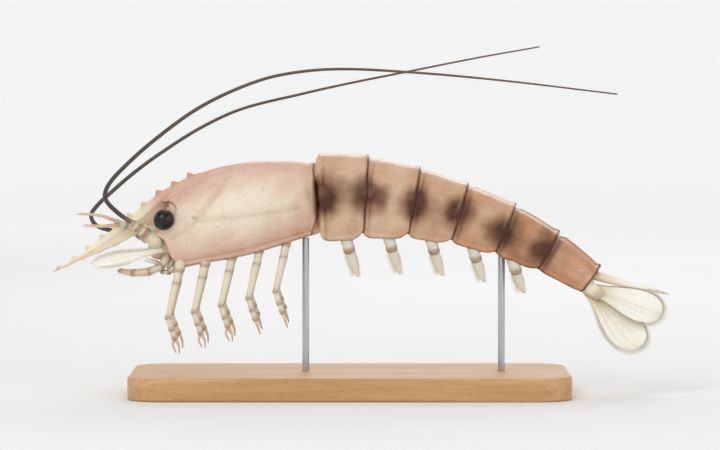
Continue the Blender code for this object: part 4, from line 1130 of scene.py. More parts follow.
def eye_pieces(name, side, black, limb):
    """A round black cornea held in the flared cup at the end of its stalk."""
    middle, root = on_side(EYE_PLACE, side), on_side(STALK_ROOT, side)
    axis = unit(middle - root)
    shape = Shape()
    turns = np.radians(np.linspace(*CORNEA_ANGLES, CORNEA_RINGS))
    add_tube(shape, middle + axis * EYE_RADIUS * np.cos(turns)[:, None], EYE_RADIUS * np.sin(turns), 64,
             blunt=(False, False))
    new_piece(f"eye_cornea_{name}", shape, black, "eye", f"eye_{name}")
    shape = Shape()
    cup = np.radians(np.linspace(*CUP_ANGLES, CUP_RINGS))
    cup_path = middle + axis * (EYE_RADIUS + 0.03) * np.cos(cup)[:, None]
    neck = np.linspace(0, 0.94, NECK_RINGS)
    path = np.concatenate((root + (cup_path[0] - root) * neck[:, None], cup_path))
    waist = neck - 0.45
    radii = np.concatenate((1.15 + 0.25 * smooth_step(neck) - 0.12 * hump(waist, 0.2),
                            (EYE_RADIUS + 0.06) * np.sin(cup)))
    dark = np.concatenate((0.25 * hump(waist, 0.12), np.linspace(0, 0.65, CUP_RINGS) ** 2))
    warm = np.concatenate((np.full(NECK_RINGS, 0.2), np.linspace(0.3, 0.9, CUP_RINGS)))
    add_tube(shape, path, radii, 40, blunt=(True, False), warm=warm, dark=dark)
    new_piece(f"eye_stalk_{name}", shape, limb, "limb", f"eyestalk_{name}")


class PRAWN_OT_eyes(bpy.types.Operator):
    """Make the black eyes and their stalks"""

    bl_idname = "prawn.eyes"
    bl_label = "Eyes"

    def execute(self, context):
        colours = context.scene.prawn_colours
        black = cornea("cornea, faceted over black", colours.eye, context.scene.prawn_sizes.facet)
        limb = chitin("chitin eyestalk, thin", colours.limb, colours.pink, colours.joint, mottle=0.15,
                      through=0.2)
        for name, side in SIDES:
            eye_pieces(name, side, black, limb)
        return {"FINISHED"}


# -------------------- feelers

ANTENNULE_JOINTS = ((0, 0.5, 1.32, 1.12), (0.5, 0.8, 1.1, 0.98), (0.8, 1, 0.95, 0.82))  # ends, half widths
ANTENNULE_SPINE = ((-1.2, 0.9, 0.2), (-3.4, 1.4, 0.4), (-4.8, 1.25, 0.5))  # from the root
SPINE_RADII = (0.62, 0.42, 0.08)
# The two short whips: tip, how far the middle bows up, and start, from the stem's end
SHORT_WHIPS = ((ANTENNULE_TIPS[0], 0.7, (0, 0.25, 0.3)), (ANTENNULE_TIPS[1], -0.3, (0, 0.45, -0.25)))
SHORT_WHIP_RADII, LONG_WHIP_RADII = (0.45, 0.12), (0.66, 0.2)


def ringed(length, ring, depth, steps=4):
    """Shares along a whip with a few steps to each ring, and how much the radius narrows at each."""
    count = max(int(length / ring), 4) * steps
    return np.linspace(0, 1, count + 1), 1 - depth * (np.arange(count + 1) % steps == 0)


def add_whip(shape, route, radii, ring):
    """Adds a tapering whip made of many short rings, each joint darker than the ring."""
    length = np.linalg.norm(np.diff(route_points(route, 400), axis=0), axis=1).sum()
    share, narrow = ringed(length, ring, 0.08)
    radius = (radii[0] + (radii[1] - radii[0]) * share ** 0.8) * narrow
    warm = np.maximum(0.5 * share, 1 - smooth_step((share * length - 1.2) / 4.5))
    dark = np.where(narrow < 1, 0.5, 0.1 + 0.2 * share)
    add_tube(shape, route_points(route, len(share)), radius, 12, up=(0, 1, 0), warm=warm, dark=dark)


def antennule_piece(name, side, ring, limb):
    """A flattened stem in three lengths, with a scale at its base, which splits into two short whips."""
    root, elbow = on_side(ANTENNULE_ROOT, side), on_side(ANTENNULE_ELBOW, side)
    shape = Shape()
    for first, last, wide, narrow in ANTENNULE_JOINTS:
        start, end = root + (elbow - root) * first, root + (elbow - root) * last
        sizes = ((wide * 0.9, wide * 1.04), (narrow * 0.92, narrow))
        add_joint_piece(shape, start, end, sizes, 20, (0, 0, 1), bulge=0.08)
    add_tube(shape, root + on_side(ANTENNULE_SPINE, side), SPINE_RADII, 12)
    for tip, bow, place in SHORT_WHIPS:
        tip = on_side(tip, side)
        start = elbow + on_side(place, side) + (0.5, 0, 0)
        add_whip(shape, [start, (start + tip) / 2 + (0, 0, bow), tip], SHORT_WHIP_RADII, ring * 0.7)
    new_piece(f"feeler_short_{name}", shape, limb, "limb", f"antennule_{name}")


PEDUNCLE = ((0, 0.46, 1.9, 1.6), (0.42, 0.74, 1.52, 1.3), (0.72, 1, 1.18, 0.92))  # as ANTENNULE_JOINTS


def antenna_pieces(name, side, ring, limb, whip):
    """The jointed base on the head, and the long whip in one sweep."""
    route = on_side(ANTENNA_ROUTES[name], side)
    root = on_side(ANTENNA_ROOT, side)
    shape = Shape()
    for first, last, wide, narrow in PEDUNCLE:
        start, end = root + (route[0] - root) * first, root + (route[0] - root) * last
        add_joint_piece(shape, start, end, (wide, narrow), 24, bulge=0.06)
    new_piece(f"antenna_stem_{name}", shape, limb, "limb", f"antenna_base_{name}")
    shape = Shape()
    route[0] = route[0] - unit(route[1] - route[0]) * 0.7
    add_whip(shape, route, LONG_WHIP_RADII, ring)
    new_piece(f"antenna_whip_{name}", shape, whip, "whip", *[f"antenna_{part}_{name}" for part in (1, 2, 3)])


def leaf(length, width, square):
    """A leaf's outline as a function of places along it, broader on its low side."""
    def outline(along):
        tip = np.sqrt(np.maximum(1 - along ** square, 0))
        half = width / 2 * (0.3 + 0.7 * smooth_step(along / 0.8)) * tip
        return length * along, -half * 1.08, half * 0.92
    return outline


def blade_axes(root, tip, across):
    """Unit vectors from root to tip and, square to it, nearest to the direction across."""
    way = unit(tip - root)
    normal = unit(np.cross(way, across))
    return way, np.cross(normal, way)


def scale_place(side):
    """The root, the two axes and the length of an antennal scale."""
    root, tip = on_side(SCALE_ROOT, side), on_side(SCALE_TIP, side)
    tilt = math.radians(SCALE_TILT)
    way, across = blade_axes(root, tip, (0, -side * math.cos(tilt), math.sin(tilt)))
    return root, way, across, np.linalg.norm(tip - root)


RIB_PLACES = np.array((0.5, 0.66, 0.78))  # along the leaf, of the outer rib's end, before its spine
SCALE_SQUARE, FAN_SQUARE = 4, 8  # how square the tips of the leaves are


def scale_piece(name, side, fan):
    """The broad blade beside each antenna: a thick outer rib that ends in a spine, and a thin inner leaf."""
    root, way, across, length = scale_place(side)
    outline = leaf(length, SCALE_WIDTH, SCALE_SQUARE)

    def thickness(along, places):
        ribs = 0.2 * hump(places + 0.86, 0.12) + 0.1 * hump(places + 0.25, 0.07)
        return (0.17 + (ribs + 0.06 * hump(places - 0.25, 0.06))) * (1 - 0.6 * along ** 6)

    def camber(along, places):
        return side * (0.5 * (1 - places ** 2) - 0.3) * smooth_step(along / 0.4)

    def warm(along, places):
        return 0.5 * (1 - smooth_step(along / 0.4)) + 0.3 * hump(places + 0.86, 0.12)

    def dark(along, places):
        return 0.25 * hump(places + 0.86, 0.08) + 0.2 * hump(places + 0.25, 0.05)

    shape = Shape()
    add_blade(shape, root, way, across, outline, camber, thickness, 90, 40, warm, dark)
    reach, edge, _ = outline(RIB_PLACES)
    lift = camber(RIB_PLACES, np.full(len(RIB_PLACES), -0.9))
    rib = root + way * reach[:, None] + across * 0.93 * edge[:, None] + np.cross(way, across) * lift[:, None]
    tip = rib[-1] + unit(rib[-1] - rib[-2]) * 0.2 * length + across * 0.25
    share = np.linspace(0, 1, 24)
    add_tube(shape, route_points([*rib, tip], len(share)), 0.06 + 0.3 * (1 - share ** 2), 12, warm=0.3,
             dark=0.1 + 0.3 * share)
    new_piece(f"antennal_leaf_{name}", shape, fan, "fan", f"antennal_scale_{name}")


class PRAWN_OT_feelers(bpy.types.Operator):
    """Make the short feelers, the long antennae and the antennal scales"""

    bl_idname = "prawn.feelers"
    bl_label = "Feelers"

    def execute(self, context):
        colours, ring = context.scene.prawn_colours, context.scene.prawn_sizes.ring / MM
        limb = chitin("chitin feeler stem, thin", colours.limb, colours.skin, colours.joint, mottle=0.18,
                      speckle=0.45, through=0.2)
        whip = chitin("chitin whip, ringed and dark", colours.whip, linear("93755F"), linear("231D1C"),
                      roughness=0.36, mottle=0.1, speckle=0.0, through=0.0)
        leafy = chitin("chitin leaf, thin and pale", colours.fan, colours.limb, colours.joint,
                       roughness=0.32, mottle=0.15, speckle=0.25, through=0.3)
        for name, side in SIDES:
            antennule_piece(name, side, ring, limb)
            antenna_pieces(name, side, ring, limb, whip)
            scale_piece(name, side, leafy)
        return {"FINISHED"}


# -------------------- walking legs

# Half widths at the two ends of each length of a leg, from the body outwards
LEG_WIDTHS = ((1.36, 1.12), (1.04, 0.94), (0.98, 0.74), (0.62, 0.76), (0.6, 0.76))
LEG_FLATNESS = np.array((0.84, 1))
FINGER_WIDTHS, FINGER_POINTS = (0.5, 0.14), 22
FINGER_OFFSETS = ((0.25, 0, 0), (0.42, 0, 0), (-0.1, 0, 0))  # of a claw's fixed finger, from a plain tip


def leg_places(pair, side, bends=LEG_BENDS):
    """The bends of a walking leg, or other places given from its top."""
    return leg_top(pair) + on_side(bends, side)


def leg_piece(pair, name, side, limb):
    """A jointed leg. The first three pairs end in a small claw of two fingers, the others in one point."""
    places = leg_places(pair, side)
    shape = Shape()
    for start, end, widths in zip(places, places[1:], LEG_WIDTHS):
        add_joint_piece(shape, start, end, [LEG_FLATNESS * width for width in widths], 18, joint=0.55)
        joint = [end - (0, 0, 0.05), end + (0, 0, 0.05)]
        add_tube(shape, joint, [widths[1] * 0.86] * 2, 14, up=(1, 0, 0), warm=1.0, dark=0.3)
    palm, tip = places[5:7]
    clawed = pair < CLAWED_PAIRS
    routes = [[palm, tip]]
    if clawed:
        fixed = np.array((palm, (palm + tip) / 2, tip)) + FINGER_OFFSETS
        routes = [fixed, leg_places(pair, side, FINGER_BENDS)]
    for route in routes:
        share = np.linspace(0, 1, FINGER_POINTS)
        radii = FINGER_WIDTHS[0] + (FINGER_WIDTHS[1] - FINGER_WIDTHS[0]) * share ** 1.2
        radii *= 0.92 if clawed else 1.05
        add_tube(shape, route_points(route, FINGER_POINTS), radii, 14, up=(0, 1, 0), warm=0.3 + 0.4 * share,
                 dark=0.6 * share ** 2)
    label = f"leg_{pair + 1}_{name}"
    new_piece(f"walking_{label}", shape, limb, "limb", label)


MAXILLIPED_WIDTHS = ((1.05, 0.98), (1, 0.86), (0.86, 0.72), (0.7, 0.34))
MAXILLIPED_BRANCH = ((0, 0, 0), (-1.2, 1.6, 0.8), (-4.2, 2.4, 1.6))  # from its second joint


def maxilliped_piece(name, side, limb):
    """The last of the mouth's limbs, folded forward under the head."""
    route = on_side(MAXILLIPED_ROUTE, side)
    shape = Shape()
    for start, end, widths in zip(route, route[1:], MAXILLIPED_WIDTHS):
        add_joint_piece(shape, start, end, widths, 18)
    add_whip(shape, route[1] + on_side(MAXILLIPED_BRANCH, side), (0.38, 0.12), 0.5)
    label = f"maxilliped_{name}"
    new_piece(f"folded_{label}", shape, limb, "limb", label)


class PRAWN_OT_legs(bpy.types.Operator):
    """Make the five pairs of walking legs and the folded mouth limbs"""

    bl_idname = "prawn.legs"
    bl_label = "Legs"

    def execute(self, context):
        colours = context.scene.prawn_colours
        limb = chitin("chitin leg, jointed and cream", colours.limb, colours.skin, colours.joint, mottle=0.25,
                      speckle=0.22)
        for name, side in SIDES:
            for pair in range(len(LEG_TOPS)):
                leg_piece(pair, name, side, limb)
            maxilliped_piece(name, side, limb)
        return {"FINISHED"}


# -------------------- swimming legs

STEM_SHARE = 0.4  # share of the length that is the stout stem
STEM_SIZES = ((1.66, 1.16), (1.42, 1))
# Share of the length, half width and half thickness of the outer paddle, then of the inner one
OUTER_SHAPE = ((0.38, 1.2, 0.62), (0.46, 1.34, 0.66), (0.7, 1.12, 0.5), (0.9, 0.78, 0.34), (1, 0.42, 0.2))
INNER_SHAPE = ((0, 0.8, 0.45), (0.3, 0.96, 0.5), (0.7, 0.78, 0.36), (1, 0.36, 0.18))
INNER_START, INNER_LENGTH, INNER_SWING = 0.36, 0.42, (0.12, 0.24)  # shares of the length; back and inwards


def swimmeret_axes(pair, side):
    """A swimming leg's root, direction and length, then its inner paddle's start, direction and length."""
    root, depth = swimmeret_root(pair, side)
    lean = math.radians(SWIMMERET_LEAN)
    way = np.array((math.sin(lean), 0.0, -math.cos(lean)))
    reach = SWIMMERETS[pair][1] + depth * (1 + SWIMMERET_ROOT[1])
    start = root + way * reach * INNER_START - (0, side * 0.3, 0)
    back, inwards = INNER_SWING
    swing = unit(way + np.array((back, -side * inwards, 0)))
    return root, way, reach, start, swing, reach * INNER_LENGTH


def paddle(shape, start, way, reach, stations):
    """Adds a flattened, ringed, tapering paddle that curves slightly back."""
    first, last = stations[0][0], stations[-1][0]
    share, narrow = ringed(reach * (last - first), 0.8, 0.035, steps=5)
    share = first + (last - first) * share
    path = start + way * reach * share[:, None] + np.array((0.5, 0, 0)) * (share ** 3)[:, None]
    sizes = sizes_at(stations, share) * narrow[:, None]
    add_tube(shape, path, sizes, 22, up=(1, 0, 0), warm=0.2 * share, dark=np.where(narrow < 1, 0.16, 0.03))


def swimmeret_piece(pair, name, side, limb):
    """A stout stem that carries a large outer paddle and a small inner one."""
    root, way, reach, *inner = swimmeret_axes(pair, side)
    shape = Shape()
    stem = root + way * reach * STEM_SHARE
    add_joint_piece(shape, root - way * 0.9, stem, STEM_SIZES, 24, (1, 0, 0), bulge=0.07)
    paddle(shape, root, way, reach, OUTER_SHAPE)
    paddle(shape, *inner, INNER_SHAPE)
    label = f"pleopod_{pair + 1}_{name}"
    new_piece(f"swimming_{label}", shape, limb, "limb", label)


class PRAWN_OT_swimmerets(bpy.types.Operator):
    """Make the five pairs of swimming legs under the tail"""

    bl_idname = "prawn.swimmerets"
    bl_label = "Swimming Legs"

    def execute(self, context):
        colours = context.scene.prawn_colours
        limb = chitin("chitin paddle, thin and cream", linear("DAD6C8"), colours.limb, colours.joint,
                      mottle=0.2, speckle=0.3, through=0.25)
        for name, side in SIDES:
            for pair in range(len(SWIMMERETS)):
                swimmeret_piece(pair, name, side, limb)
        return {"FINISHED"}


# -------------------- tail fan

FAN_STEM = ((60, 2.2, 29.3), (64.2, 3.4, 26.4))  # the short stem that carries both blades of a side
FAN_STEM_SIZES = ((2.1, 1.5), (1.7, 1.1))


def fan_place(part, side):
    """Root, axes and length of a blade of the tail fan, and its width."""
    root = on_side(FAN_ROOT, side)
    telson = unit((TELSON_TIP[0] - TELSON_ROOT[0], 0, TELSON_TIP[1] - TELSON_ROOT[1]))
    lowest = unit(on_side(FAN_BLADES[1][1], side) - root)
    plane = unit(np.cross(telson, lowest)) * side
    _, tip, width, layer = FAN_BLADES[part]
    tip = on_side(tip, side)
    way, across = blade_axes(root, tip, np.cross(unit(tip - root), plane) * side)
    return root + plane * layer, way, across, np.linalg.norm(tip - root), width


# Each blade's ribs: place across, half thickness that they add, and half width
FAN_RIBS = (((0, 0.16, 0.09), (-0.38, 0.1, 0.06)), ((-0.3, 0.17, 0.08), (-0.9, 0.2, 0.08), (0.3, 0.07, 0.06)))


def fan_blade(part, name, side, fan):
    """One blade: a thin leaf with a stiff rib and rays, which fans out to a square end."""
    root, way, across, length, width = fan_place(part, side)

    def rib_humps(along, places):
        return [(level, hump(places - place * (0.4 + 0.6 * along), wide))
                for place, level, wide in FAN_RIBS[part]]

    def thickness(along, places):
        rays = 0.022 * np.cos(places * 46) * smooth_step((along - 0.35) / 0.3)
        raised = sum(level * rib for level, rib in rib_humps(along, places))
        return (0.13 + raised * (1 - 0.75 * along ** 2) + rays) * (1 - 0.55 * along ** 8)

    def camber(along, places):
        wave = 0.16 * np.sin(places * 3.0 + 1.0) * smooth_step((along - 0.2) / 0.5)
        return side * ((0.55 * (1 - places ** 2) - 0.35) * smooth_step(along / 0.35) + wave)

    def warm(along, places):
        return 0.95 * (1 - smooth_step((along - 0.02) / 0.55)) + 0.25 * hump(1 - along, 0.12)

    def dark(along, places):
        ribs = sum(0.24 * rib for _, rib in rib_humps(along, places))
        edge = 0.2 * smooth_step((np.abs(places) - 0.9) / 0.1)
        return ribs * (1 - 0.6 * along) + edge + 0.3 * (1 - smooth_step(along / 0.1))

    shape = Shape()
    outline = leaf(length, width, FAN_SQUARE)
    add_blade(shape, root, way, across, outline, camber, thickness, 110, 60, warm, dark)
    blade = FAN_BLADES[part][0]
    if blade == "exopod":
        start, end = on_side(FAN_STEM, side)
        add_joint_piece(shape, start, end, FAN_STEM_SIZES, 28, (0, 0, 1), bulge=0.04, joint=0.45, warm=0.5)
    new_piece(f"fan_uropod_{blade}_{name}", shape, fan, "fan", f"uropod_{blade}_{name}")


TELSON_SPINES = (0.72, 0.82, 0.91)  # shares of its length at which the pairs of spines stand


def telson_piece(fan):
    """The middle spike of the fan: a long wedge with a grooved back and fine spines beside its tip."""
    (root_x, root_z), (tip_x, tip_z) = TELSON_ROOT, TELSON_TIP
    root, tip = np.array((root_x, 0, root_z)), np.array((tip_x, 0, tip_z))
    share = np.linspace(0, 1, 70)
    shape = Shape()
    add_tube(shape, root + (tip - root) * share[:, None], sizes_at(TELSON_SHAPE, share), 48, ridges=-0.28,
             warm=0.9 * (1 - smooth_step(share / 0.6)),
             dark=0.35 * (1 - smooth_step(share / 0.12)) + 0.15 * share ** 3)
    way = unit(tip - root)
    for place, (_, wide) in zip(TELSON_SPINES, sizes_at(TELSON_SHAPE, TELSON_SPINES)):
        for _, side in SIDES:
            start = root + (tip - root) * place + (0, side * wide * 0.7, 0)
            spine = [start, start + way * 0.9 + (0, side * 0.35, 0), start + way * 1.8 + (0, side * 0.5, 0)]
            add_tube(shape, spine, [0.24, 0.18, 0.05], 10, warm=0.6, dark=0.25)
    new_piece("fan_telson", shape, fan, "fan", "telson")


class PRAWN_OT_tail_fan(bpy.types.Operator):
    """Make the telson and the four blades of the tail fan"""

    bl_idname = "prawn.tail_fan"
    bl_label = "Tail Fan"

    def execute(self, context):
        colours = context.scene.prawn_colours
        fan = chitin("chitin fan, thin and pale", colours.fan, linear("DDC9A6"), linear("8F7152"),
                     mottle=0.16, speckle=0.22, through=0.3)
        telson_piece(fan)
        for name, side in SIDES:
            for part in range(len(FAN_BLADES)):
                fan_blade(part, name, side, fan)
        return {"FINISHED"}


# -------------------- setae

def seta_material(colour):
    """Setae: hollow hairs of thin, straw-coloured chitin, see-through, that catch light along their length."""
    material, node = new_material("chitin seta, fine and hollow")
    place = node("TexCoord").outputs["Object"]
    patch = node("TexNoise", {"Vector": place, "Scale": 500})
    tint = node("Mix", {0: patch, 6: (*colour, 1), 7: (*linear("E4D6BC"), 1)}, data_type="RGBA")
    shader = node("BsdfPrincipled", {
        "Base Color": tint, "Roughness": 0.45, "Subsurface Weight": 0.2, "Subsurface Scale": 0.0004})
    node("OutputMaterial", {"Surface": shader})
    return material


SETA_RADIUS = 0.028  # at the root, about three times a real one's, so that it shows
FRINGE_START = 0.12  # share of a blade's edge without setae, from its root
FAN_LAYERS = (-0.1, 0, 0.1)  # how far each layer of the fan's setae leans out of its plane
# The lengths of a limb that carry setae, with their radius, then the ways that the setae face
LEG_ROWS, LEG_WAYS = ((1, 0.85), (2, 0.72), (3, 0.6), (4, 0.58)), ((-1, 0, 0), (1, 0, 0))
MAXILLIPED_ROWS, MAXILLIPED_WAYS = ((1, 0.85), (2, 0.75), (3, 0.4)), ((0, -1, 0), (0, 0, -1), (0, 1, -0.6))


def fringe_blade(shape, origin, way, across, outline, edges, length, gap, lift, page):
    """Adds setae round a blade's edge. Page shifts them on the map, so that no two blades share a place."""
    reach, low, high = outline(np.sin(np.linspace(0.1, math.pi / 2, 600)))
    for edge in edges:
        rim = np.stack((reach, low if edge < 0 else high), -1)
        run = np.concatenate(([0], np.cumsum(np.linalg.norm(np.diff(rim, axis=0), axis=1))))
        places = np.arange(run[-1] * FRINGE_START, run[-1], gap)
        rim = np.stack([np.interp(places, run, rim[:, k]) for k in (0, 1)], -1)
        along = np.gradient(rim, axis=0)
        lean = unit(unit(np.stack((-along[:, 1], along[:, 0]), -1)) * edge + np.array((0.9, 0.0)))
        ways = way * lean[:, :1] + across * lean[:, 1:] + np.cross(way, across) * lift
        jitter = 0.12 * np.stack([np.sin(places * rate) for rate in (37.1, 53.3, 71.9)], -1)
        lengths = length * smooth_step(places / run[-1] / 0.5) * (0.85 + 0.15 * np.sin(places * 23.0))
        roots = origin + way * rim[:, :1] + across * rim[:, 1:] * 0.985
        across_map = page + 0.1 + 0.08 * rim[:, 1] / np.abs(low).max()
        maps = np.stack((0.02 + 0.94 * rim[:, 0] / reach[-1], across_map), -1)
        add_setae(shape, roots, ways + jitter, lengths, SETA_RADIUS, way * 0.12, maps)


def fringe_limb(shape, start, end, radius, out, length, gap, page, spread=0.5):
    """Adds a row of setae along a limb, on the side that faces out."""
    start, end = np.asarray(start, float), np.asarray(end, float)
    count = max(int(np.linalg.norm(end - start) / gap), 3)
    share = np.linspace(0.04, 0.98, count)
    turn = np.sin(np.arange(count) * 2.4) * spread
    way, out = unit(end - start), unit(out)
    across = np.cross(way, out)
    facing = out * np.cos(turn)[:, None] + across * np.sin(turn)[:, None]
    roots = start + (end - start) * share[:, None] + facing * (radius * 0.9)
    lengths = length * (0.75 + 0.25 * np.sin(np.arange(count) * 1.7))
    maps = np.stack((0.02 + 0.94 * share, page + 0.04 * turn), -1)
    add_setae(shape, roots, facing + way * 0.7, lengths, SETA_RADIUS, way * 0.1, maps)


def fan_setae(shape, length, gap):
    """Three layers of long setae round each blade of the tail fan."""
    for page, (part, side) in enumerate(((0, -1), (1, -1), (0, 1), (1, 1))):
        origin, way, across, reach, width = fan_place(part, side)
        outline, edges = leaf(reach, width, FAN_SQUARE), ((-1, 1), (1, -1))[part]
        for lift in FAN_LAYERS:
            on_map = 0.22 * page + 0.3 * lift
            fringe_blade(shape, origin, way, across, outline, edges, length, gap, lift, on_map)


def scale_setae(shape, length, gap):
    """One row along the inner edge of each antennal scale."""
    for page, (_, side) in enumerate(SIDES):
        origin, way, across, reach = scale_place(side)
        outline = leaf(reach, SCALE_WIDTH, SCALE_SQUARE)
        fringe_blade(shape, origin, way, across, outline, (1,), 0.8 * length, gap, 0.0, 0.3 * page)


def limb_setae(shape, length, gap):
    """Short rows on the walking legs and longer ones on the folded mouth limbs."""
    for half, (_, side) in enumerate(SIDES):
        for pair in range(len(LEG_TOPS)):
            places = leg_places(pair, side)
            page = 0.05 + 0.45 * half + 0.08 * pair
            for (k, radius), out in product(LEG_ROWS, LEG_WAYS):
                fringe_limb(shape, places[k], places[k + 1], radius, out, 0.42 * length, 2.4 * gap, page)
        route = on_side(MAXILLIPED_ROUTE, side)
        for (k, radius), out in product(MAXILLIPED_ROWS, MAXILLIPED_WAYS):
            fringe_limb(shape, route[k], route[k + 1], radius, on_side(out, side), 0.7 * length, 1.3 * gap,
                        0.45 + 0.45 * half)


def swimmeret_setae(shape, length, gap):
    """Fringes on both edges of every swimming leg's paddles."""
    for half, (_, side) in enumerate(SIDES):
        for pair in range(len(SWIMMERETS)):
            root, way, reach, start, swing, inner_reach = swimmeret_axes(pair, side)
            page = 0.05 + 0.45 * half + 0.08 * pair
            for out in (-1, 1):
                outer = root + way * reach * 0.5 + (out * 0.75, 0, 0), root + way * reach + (out * 0.15, 0, 0)
                fringe_limb(shape, *outer, 0.3, (out, 0, 0), 0.95 * length, 0.9 * gap, page, 0.3)
                inner = (start + swing * inner_reach * 0.2 + (out * 0.55, 0, 0),
                         start + swing * inner_reach + (out * 0.1, 0, 0))
                fringe_limb(shape, *inner, 0.25, (out, 0, 0), 0.75 * length, gap, page + 0.04, 0.25)


SETAE = (("setae_fan", fan_setae, "fan"), ("setae_scales", scale_setae, "fan"),
         ("setae_limbs", limb_setae, "limb"), ("setae_swimmerets", swimmeret_setae, "limb"))


class PRAWN_OT_setae(bpy.types.Operator):
    """Make the fringes of setae round the fan, the scales and the limbs"""

    bl_idname = "prawn.setae"
    bl_label = "Setae"

    def execute(self, context):
        sizes = context.scene.prawn_sizes
        hair = seta_material(context.scene.prawn_colours.seta)
        for name, add_rows, slot in SETAE:
            shape = Shape()
            add_rows(shape, sizes.seta / MM, sizes.seta_gap / MM)
            new_piece(name, shape, hair, slot)
        return {"FINISHED"}


# -------------------- stand and stage

BASE_POINTS, EASE_POINTS = 120, 6  # round the board's outline, and round its edges
SEAT_GAP = 0.25  # round a rod in its hole
SHARP_ANGLE = math.radians(35)  # from which an edge isn't smoothed
ROD_EDGE = 0.15  # how much of a rod's ends is eased


def base_piece(colours):
    """A flat board with round corners and eased edges."""
    length, width, height = BASE_SIZE
    around = np.arange(BASE_POINTS) * math.tau / BASE_POINTS + 0.01
    # The edge's profile, as the distance in from the side and the height, from underneath to the top
    ease = [(BASE_EDGE * (1 - math.cos(a)), BASE_EDGE * (1 - math.sin(a)))
            for a in np.linspace(0, math.pi / 2, EASE_POINTS)]
    rings = []
    for inset, level in ease[::-1] + [(inset, height - low) for inset, low in ease]:
        corner = BASE_CORNER - inset
        x = np.copysign(length / 2 - BASE_CORNER, np.cos(around)) + corner * np.cos(around)
        y = np.copysign(width / 2 - BASE_CORNER, np.sin(around)) + corner * np.sin(around)
        rings.append(np.stack((x, y, np.full(len(around), level)), -1))
    shape = Shape()
    add_closed(shape, np.stack(rings))
    return new_piece("base_board", shape, oiled_beech(colours.beech), "beech", "stand_base")


def oiled_beech(colour):
    """Oiled beech, planed and sanded: fine straight grain along the board with short brown flecks.

    Flecks are about 2 mm long and 0.4 mm wide, and growth bands 3 to 5 mm apart.
    """
    material, node = new_material("beech, planed and oiled")
    place = node("TexCoord").outputs["Object"]
    stretched = node("Mapping", {"Vector": place, "Scale": (0.06, 1, 1)})
    bands = node("TexNoise", {"Vector": stretched, "Scale": 260, "Detail": 5, "Roughness": 0.6})
    fibres = node("TexNoise", {"Vector": stretched, "Scale": 2200})
    short = node("Mapping", {"Vector": place, "Scale": (0.2, 1, 1)})
    flecks = node("TexVoronoi", {"Vector": short, "Scale": 1100})
    fleck = node("MapRange", {0: flecks, 1: 0.08, 2: 0.2, 3: 0.45, 4: 0})
    band = node("MapRange", {0: bands, 1: 0.35, 2: 0.68, 3: 0, 4: 0.75})
    wood = node("Mix", {0: band, 6: (*colour, 1), 7: (*linear("B5834F"), 1)}, data_type="RGBA")
    fine = node("MapRange", {0: fibres, 1: 0.4, 2: 0.7, 3: 0, 4: 0.35})
    streaked = node("Mix", {0: fine, 6: wood, 7: (*linear("A87848"), 1)}, data_type="RGBA")
    flecked = node("Mix", {0: fleck, 6: streaked, 7: (*linear("84552F"), 1)}, data_type="RGBA")
    bump = node("Bump", {"Strength": 0.25, "Distance": 0.0001, "Height": fibres})
    shader = node("BsdfPrincipled", {
        "Base Color": flecked, "Roughness": 0.5, "Normal": bump, "Coat Weight": 0.15, "Coat Roughness": 0.3})
    node("OutputMaterial", {"Surface": shader})
    return material


def drawn_steel(colour):
    """Stainless steel rod, drawn and polished: bright, with fine lines along it that stretch the highlights.

    The lines are about 0.05 mm apart, drawn at 0.15 mm so that they show.
    """
    material, node = new_material("stainless steel, drawn and polished")
    place = node("TexCoord").outputs["Object"]
    stretched = node("Mapping", {"Vector": place, "Scale": (1, 1, 0.02)})
    lines = node("TexNoise", {"Vector": stretched, "Scale": 6500})
    dull = node("MapRange", {0: lines, 1: 0.3, 2: 0.7, 3: 0.14, 4: 0.3})
    shader = node("BsdfPrincipled", {"Base Color": (*colour, 1), "Metallic": 1, "Roughness": dull})
    node("OutputMaterial", {"Surface": shader})
    return material


def rod_shape(x, levels, radii):
    """An upright round rod with flat ends, from its radii at some levels."""
    shape = Shape()
    add_tube(shape, [(x, 0, z) for z in levels], radii, sides=40, up=(1, 0, 0), blunt=(False, False))
    return shape


def cut_seats(base):
    """Cuts the rods' holes in the board."""
    cutters = []
    for name, x, _ in RODS:
        levels = BASE_SIZE[2] - ROD_SEAT, BASE_SIZE[2] + 2
        shape = rod_shape(x, levels, [ROD_RADIUS + SEAT_GAP] * 2)
        cutters.append(put_in_scene(f"seat_{name}", mesh_of(f"seat_{name}", shape)))
        hole = base.modifiers.new(cutters[-1].name, "BOOLEAN")
        hole.object, hole.solver = cutters[-1], "EXACT"
    cut = modified_mesh(base)
    base.modifiers.clear()
    base.data = cut
    cut.set_sharp_from_angle(angle=SHARP_ANGLE)
    for cutter in cutters:
        bpy.data.objects.remove(cutter)


class PRAWN_OT_stand(bpy.types.Operator):
    """Make the wooden base and the two steel rods that hold the animal up"""

    bl_idname = "prawn.stand"
    bl_label = "Stand"

    def execute(self, context):
        colours = context.scene.prawn_colours
        cut_seats(base_piece(colours))
        steel = drawn_steel(colours.steel)
        low, edge = BASE_SIZE[2] - ROD_SEAT + 0.3, ROD_EDGE
        for name, x, top in RODS:
            levels = (low, low + edge, top - edge, top)
            shape = rod_shape(x, levels, [ROD_RADIUS - edge, ROD_RADIUS, ROD_RADIUS, ROD_RADIUS - edge])
            mesh = mesh_of(f"rod_{name}", shape)
            mesh.set_sharp_from_angle(angle=SHARP_ANGLE)
            new_piece(f"rod_{name}", mesh, steel, "steel", f"stand_rod_{name}")
        return {"FINISHED"}


ROOM_RADIUS, ROOM_BEND, ROOM_HEIGHT = 2600, 700, 2000  # floor, its curve up to the wall, and the wall
FLOOR_RINGS = (300, 900, 1500)
# How brightly the far floor and the wall glow, as painted light, and the strength of the world's light
WALL_PAINTED_GLOW, SKY_STRENGTH = 0.35, 0.31


